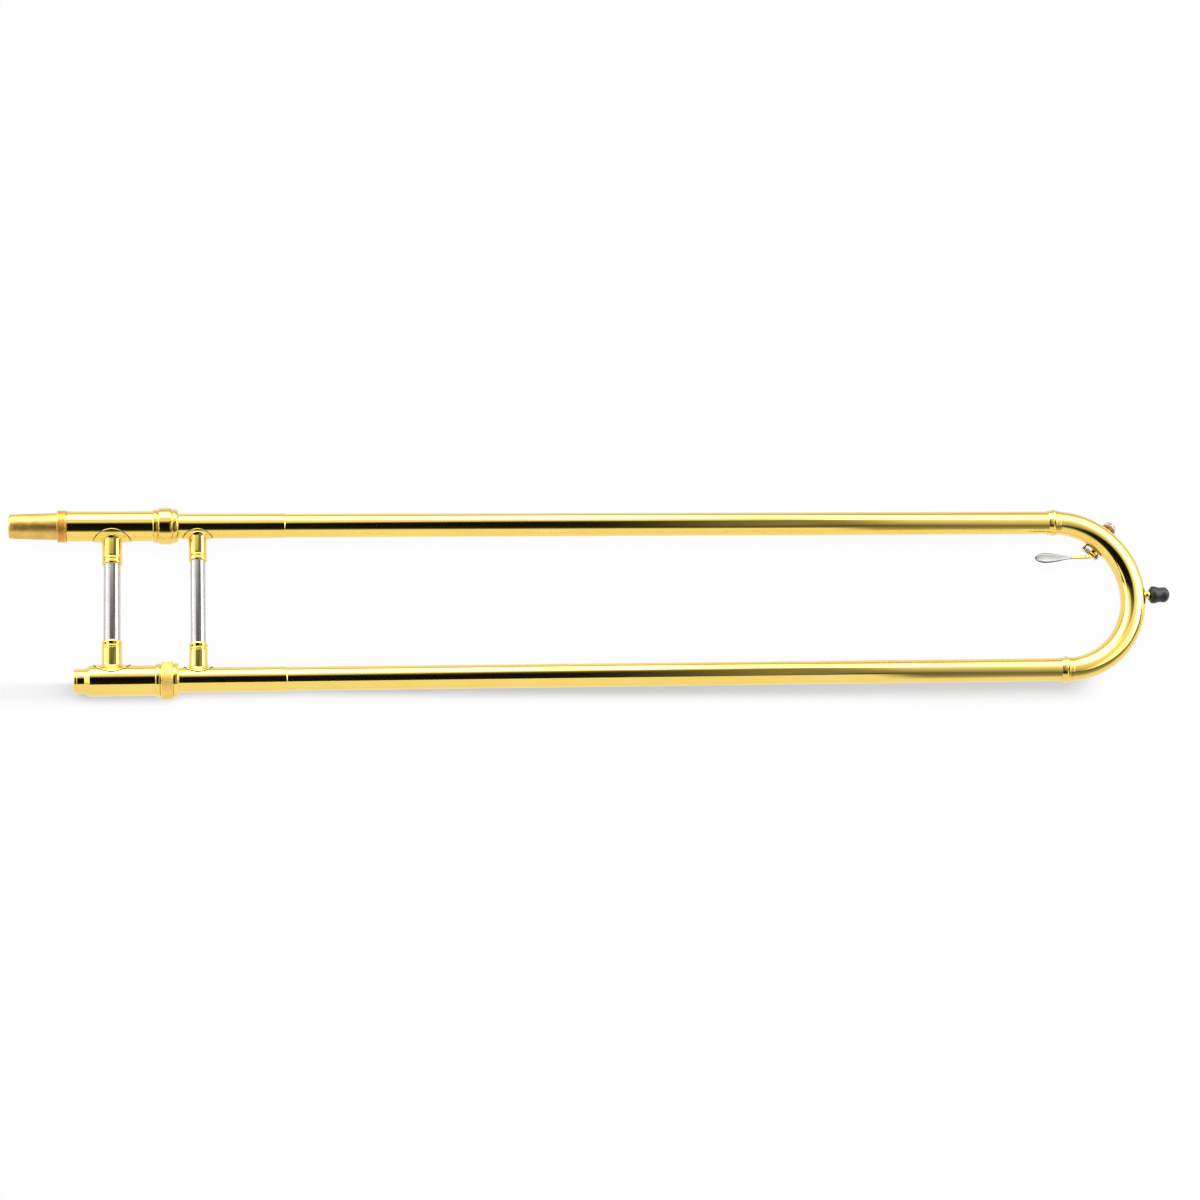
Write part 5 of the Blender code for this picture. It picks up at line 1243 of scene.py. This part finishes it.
def roof_material():
    """The opening runs from the left of the slide to three quarters along it.

    Its back edge glows darker in steps, a painted dim band, that swings back to the right. Past its right
    edge the glow brightens backwards and to the right.
    """
    material, tree, surface, place = blank("tent_roof")
    x = combined(tree, "SUBTRACT", place["X"], float(TIP_X))
    y = place["Y"]
    swing = ramped(tree, x, 0.12, 0.46, 0.0, 0.09, soft=True)
    from_edge = combined(tree, "SUBTRACT", y, swing)
    dim_edge = grey_steps(tree, from_edge, 0.0, 0.5, (
        (0.06, 0.0), (0.09, 0.06), (0.12, 0.17), (0.15, 0.25), (0.165, 0.38), (0.18, 0.6), (0.2, 0.85),
        (0.23, 1.0), (0.5, 0.96)))
    dim_edge_cover = ramped(tree, from_edge, 0.06, 0.11, soft=True)
    slope = combined(tree, "ADD", combined(tree, "MULTIPLY", y, 1.5), combined(tree, "MULTIPLY", x, 1.5))
    right = ramped(tree, combined(tree, "SUBTRACT", slope, 0.48), 0.04, 1.05, 0.04, 1.05)
    right = combined(tree, "ADD", right, ramped(tree, x, 1.0, 1.12, 0.0, 0.8, soft=True))
    lobe = combined(tree, "ADD", y, combined(tree, "MULTIPLY", combined(tree, "SUBTRACT", x, 0.95), 0.6))
    right = combined(tree, "ADD", right, ramped(tree, lobe, 0.15, 0.225, 0.0, 3.4, soft=True))
    right_cover = ramped(tree, x, 0.63, 0.77, soft=True)
    left_cover = ramped(tree, x, -0.18, -0.36, soft=True)
    level = combined(tree, "MAXIMUM", dim_edge, combined(tree, "MULTIPLY", right, right_cover))
    level = combined(tree, "MAXIMUM", level, combined(tree, "MULTIPLY", left_cover, 1.3))
    cover = combined(tree, "MAXIMUM", combined(tree, "MAXIMUM", dim_edge_cover, right_cover), left_cover)
    cloth(tree, surface, level, cover)
    return material


def wall_material():
    """Even white, ending softly short of the crook."""
    material, tree, surface, place = blank("tent_wall")
    cloth(tree, surface, 0.98, ramped(tree, place["X"], TIP_X + 0.60, TIP_X + 0.645, 1.0, 0.0, soft=True))
    return material


roof = sheet("tent_roof", [
    (TIP_X - 1.4, -0.45, ROOF_Z), (TIP_X + 2.0, -0.45, ROOF_Z), (TIP_X + 2.0, 0.46, ROOF_Z),
    (TIP_X - 1.4, 0.46, ROOF_Z)], roof_material())
wall = sheet("tent_wall", [
    (TIP_X - 0.8, FRONT_Y, 0.0), (TIP_X + 0.65, FRONT_Y, 0.0), (TIP_X + 0.65, FRONT_Y, FRONT_TOP),
    (TIP_X - 0.8, FRONT_Y, FRONT_TOP)], wall_material())
for hung in (roof, wall):
    for sight in ("camera", "diffuse", "transmission", "volume_scatter", "shadow"):
        setattr(hung, "visible_" + sight, False)


# Studio light.
# One broad lamp low behind the slide; overhead the room is dark, and it pales to the right. Only reflections
# see that: a painted reflection. Matt surfaces are lit evenly, a little more from overhead, and the camera
# sees white.
LAMP = 5.0


def studio_light():
    """Strength by a direction's angle in the YZ plane, 0 at the back and 90 straight up.

    A second scale takes over where the direction leans to the right.
    """
    world, tree, surface, way = blank("studio", "ShaderNodeOutputWorld")
    bpy.context.scene.world = world
    angle = combined(tree, "MULTIPLY", combined(tree, "ARCTAN2", way["Z"], way["Y"]), 180 / math.pi)
    ahead = grey_steps(tree, angle, 0.0, 180.0, (
        (0, 0.8), (6, 1.0), (13, 3.8), (20, 5.0), (45, 5.0), (52, 1.1), (60, 0.8), (68, 0.1), (80, 0.0),
        (135, 0.01), (146, 0.3), (152, 0.9), (180, 0.95)), LAMP)
    right = grey_steps(tree, angle, 0.0, 180.0, (
        (0, 0.45), (8, 0.65), (17, 0.95), (27, 3.6), (36, 4.2), (45, 2.0), (54, 1.0), (62, 0.6), (70, 0.33),
        (118, 0.33), (129, 0.17), (141, 0.2), (153, 0.27), (166, 0.42), (180, 0.75)), LAMP)
    lean = ramped(tree, way["X"], 0.14, 0.25, soft=True)
    above = grey_steps(tree, angle, 0.0, 180.0, (
        (0, 0.6), (52, 0.6), (60, 2.05), (78, 2.05), (86, 0.6), (180, 0.6)), LAMP)
    white, soft, light = (tree.nodes.new("ShaderNodeBackground") for _ in range(3))
    white.inputs["Color"].default_value = (1.0, 1.0, 1.0, 1.0)
    tree.links.new(above, soft.inputs["Color"])
    soft.inputs["Strength"].default_value = LAMP
    tree.links.new(blended(tree, lean, ahead, right), light.inputs["Color"])
    ray = tree.nodes.new("ShaderNodeLightPath")
    tree.links.new(first_bounce(tree, ray, LAMP), light.inputs["Strength"])
    matt = shader_choice(tree, ray.outputs["Is Camera Ray"], soft.outputs[0], white.outputs[0])
    tree.links.new(shader_choice(tree, ray.outputs["Is Glossy Ray"], matt, light.outputs[0]), surface)


studio_light()
bpy.context.scene.view_settings.view_transform = "Standard"
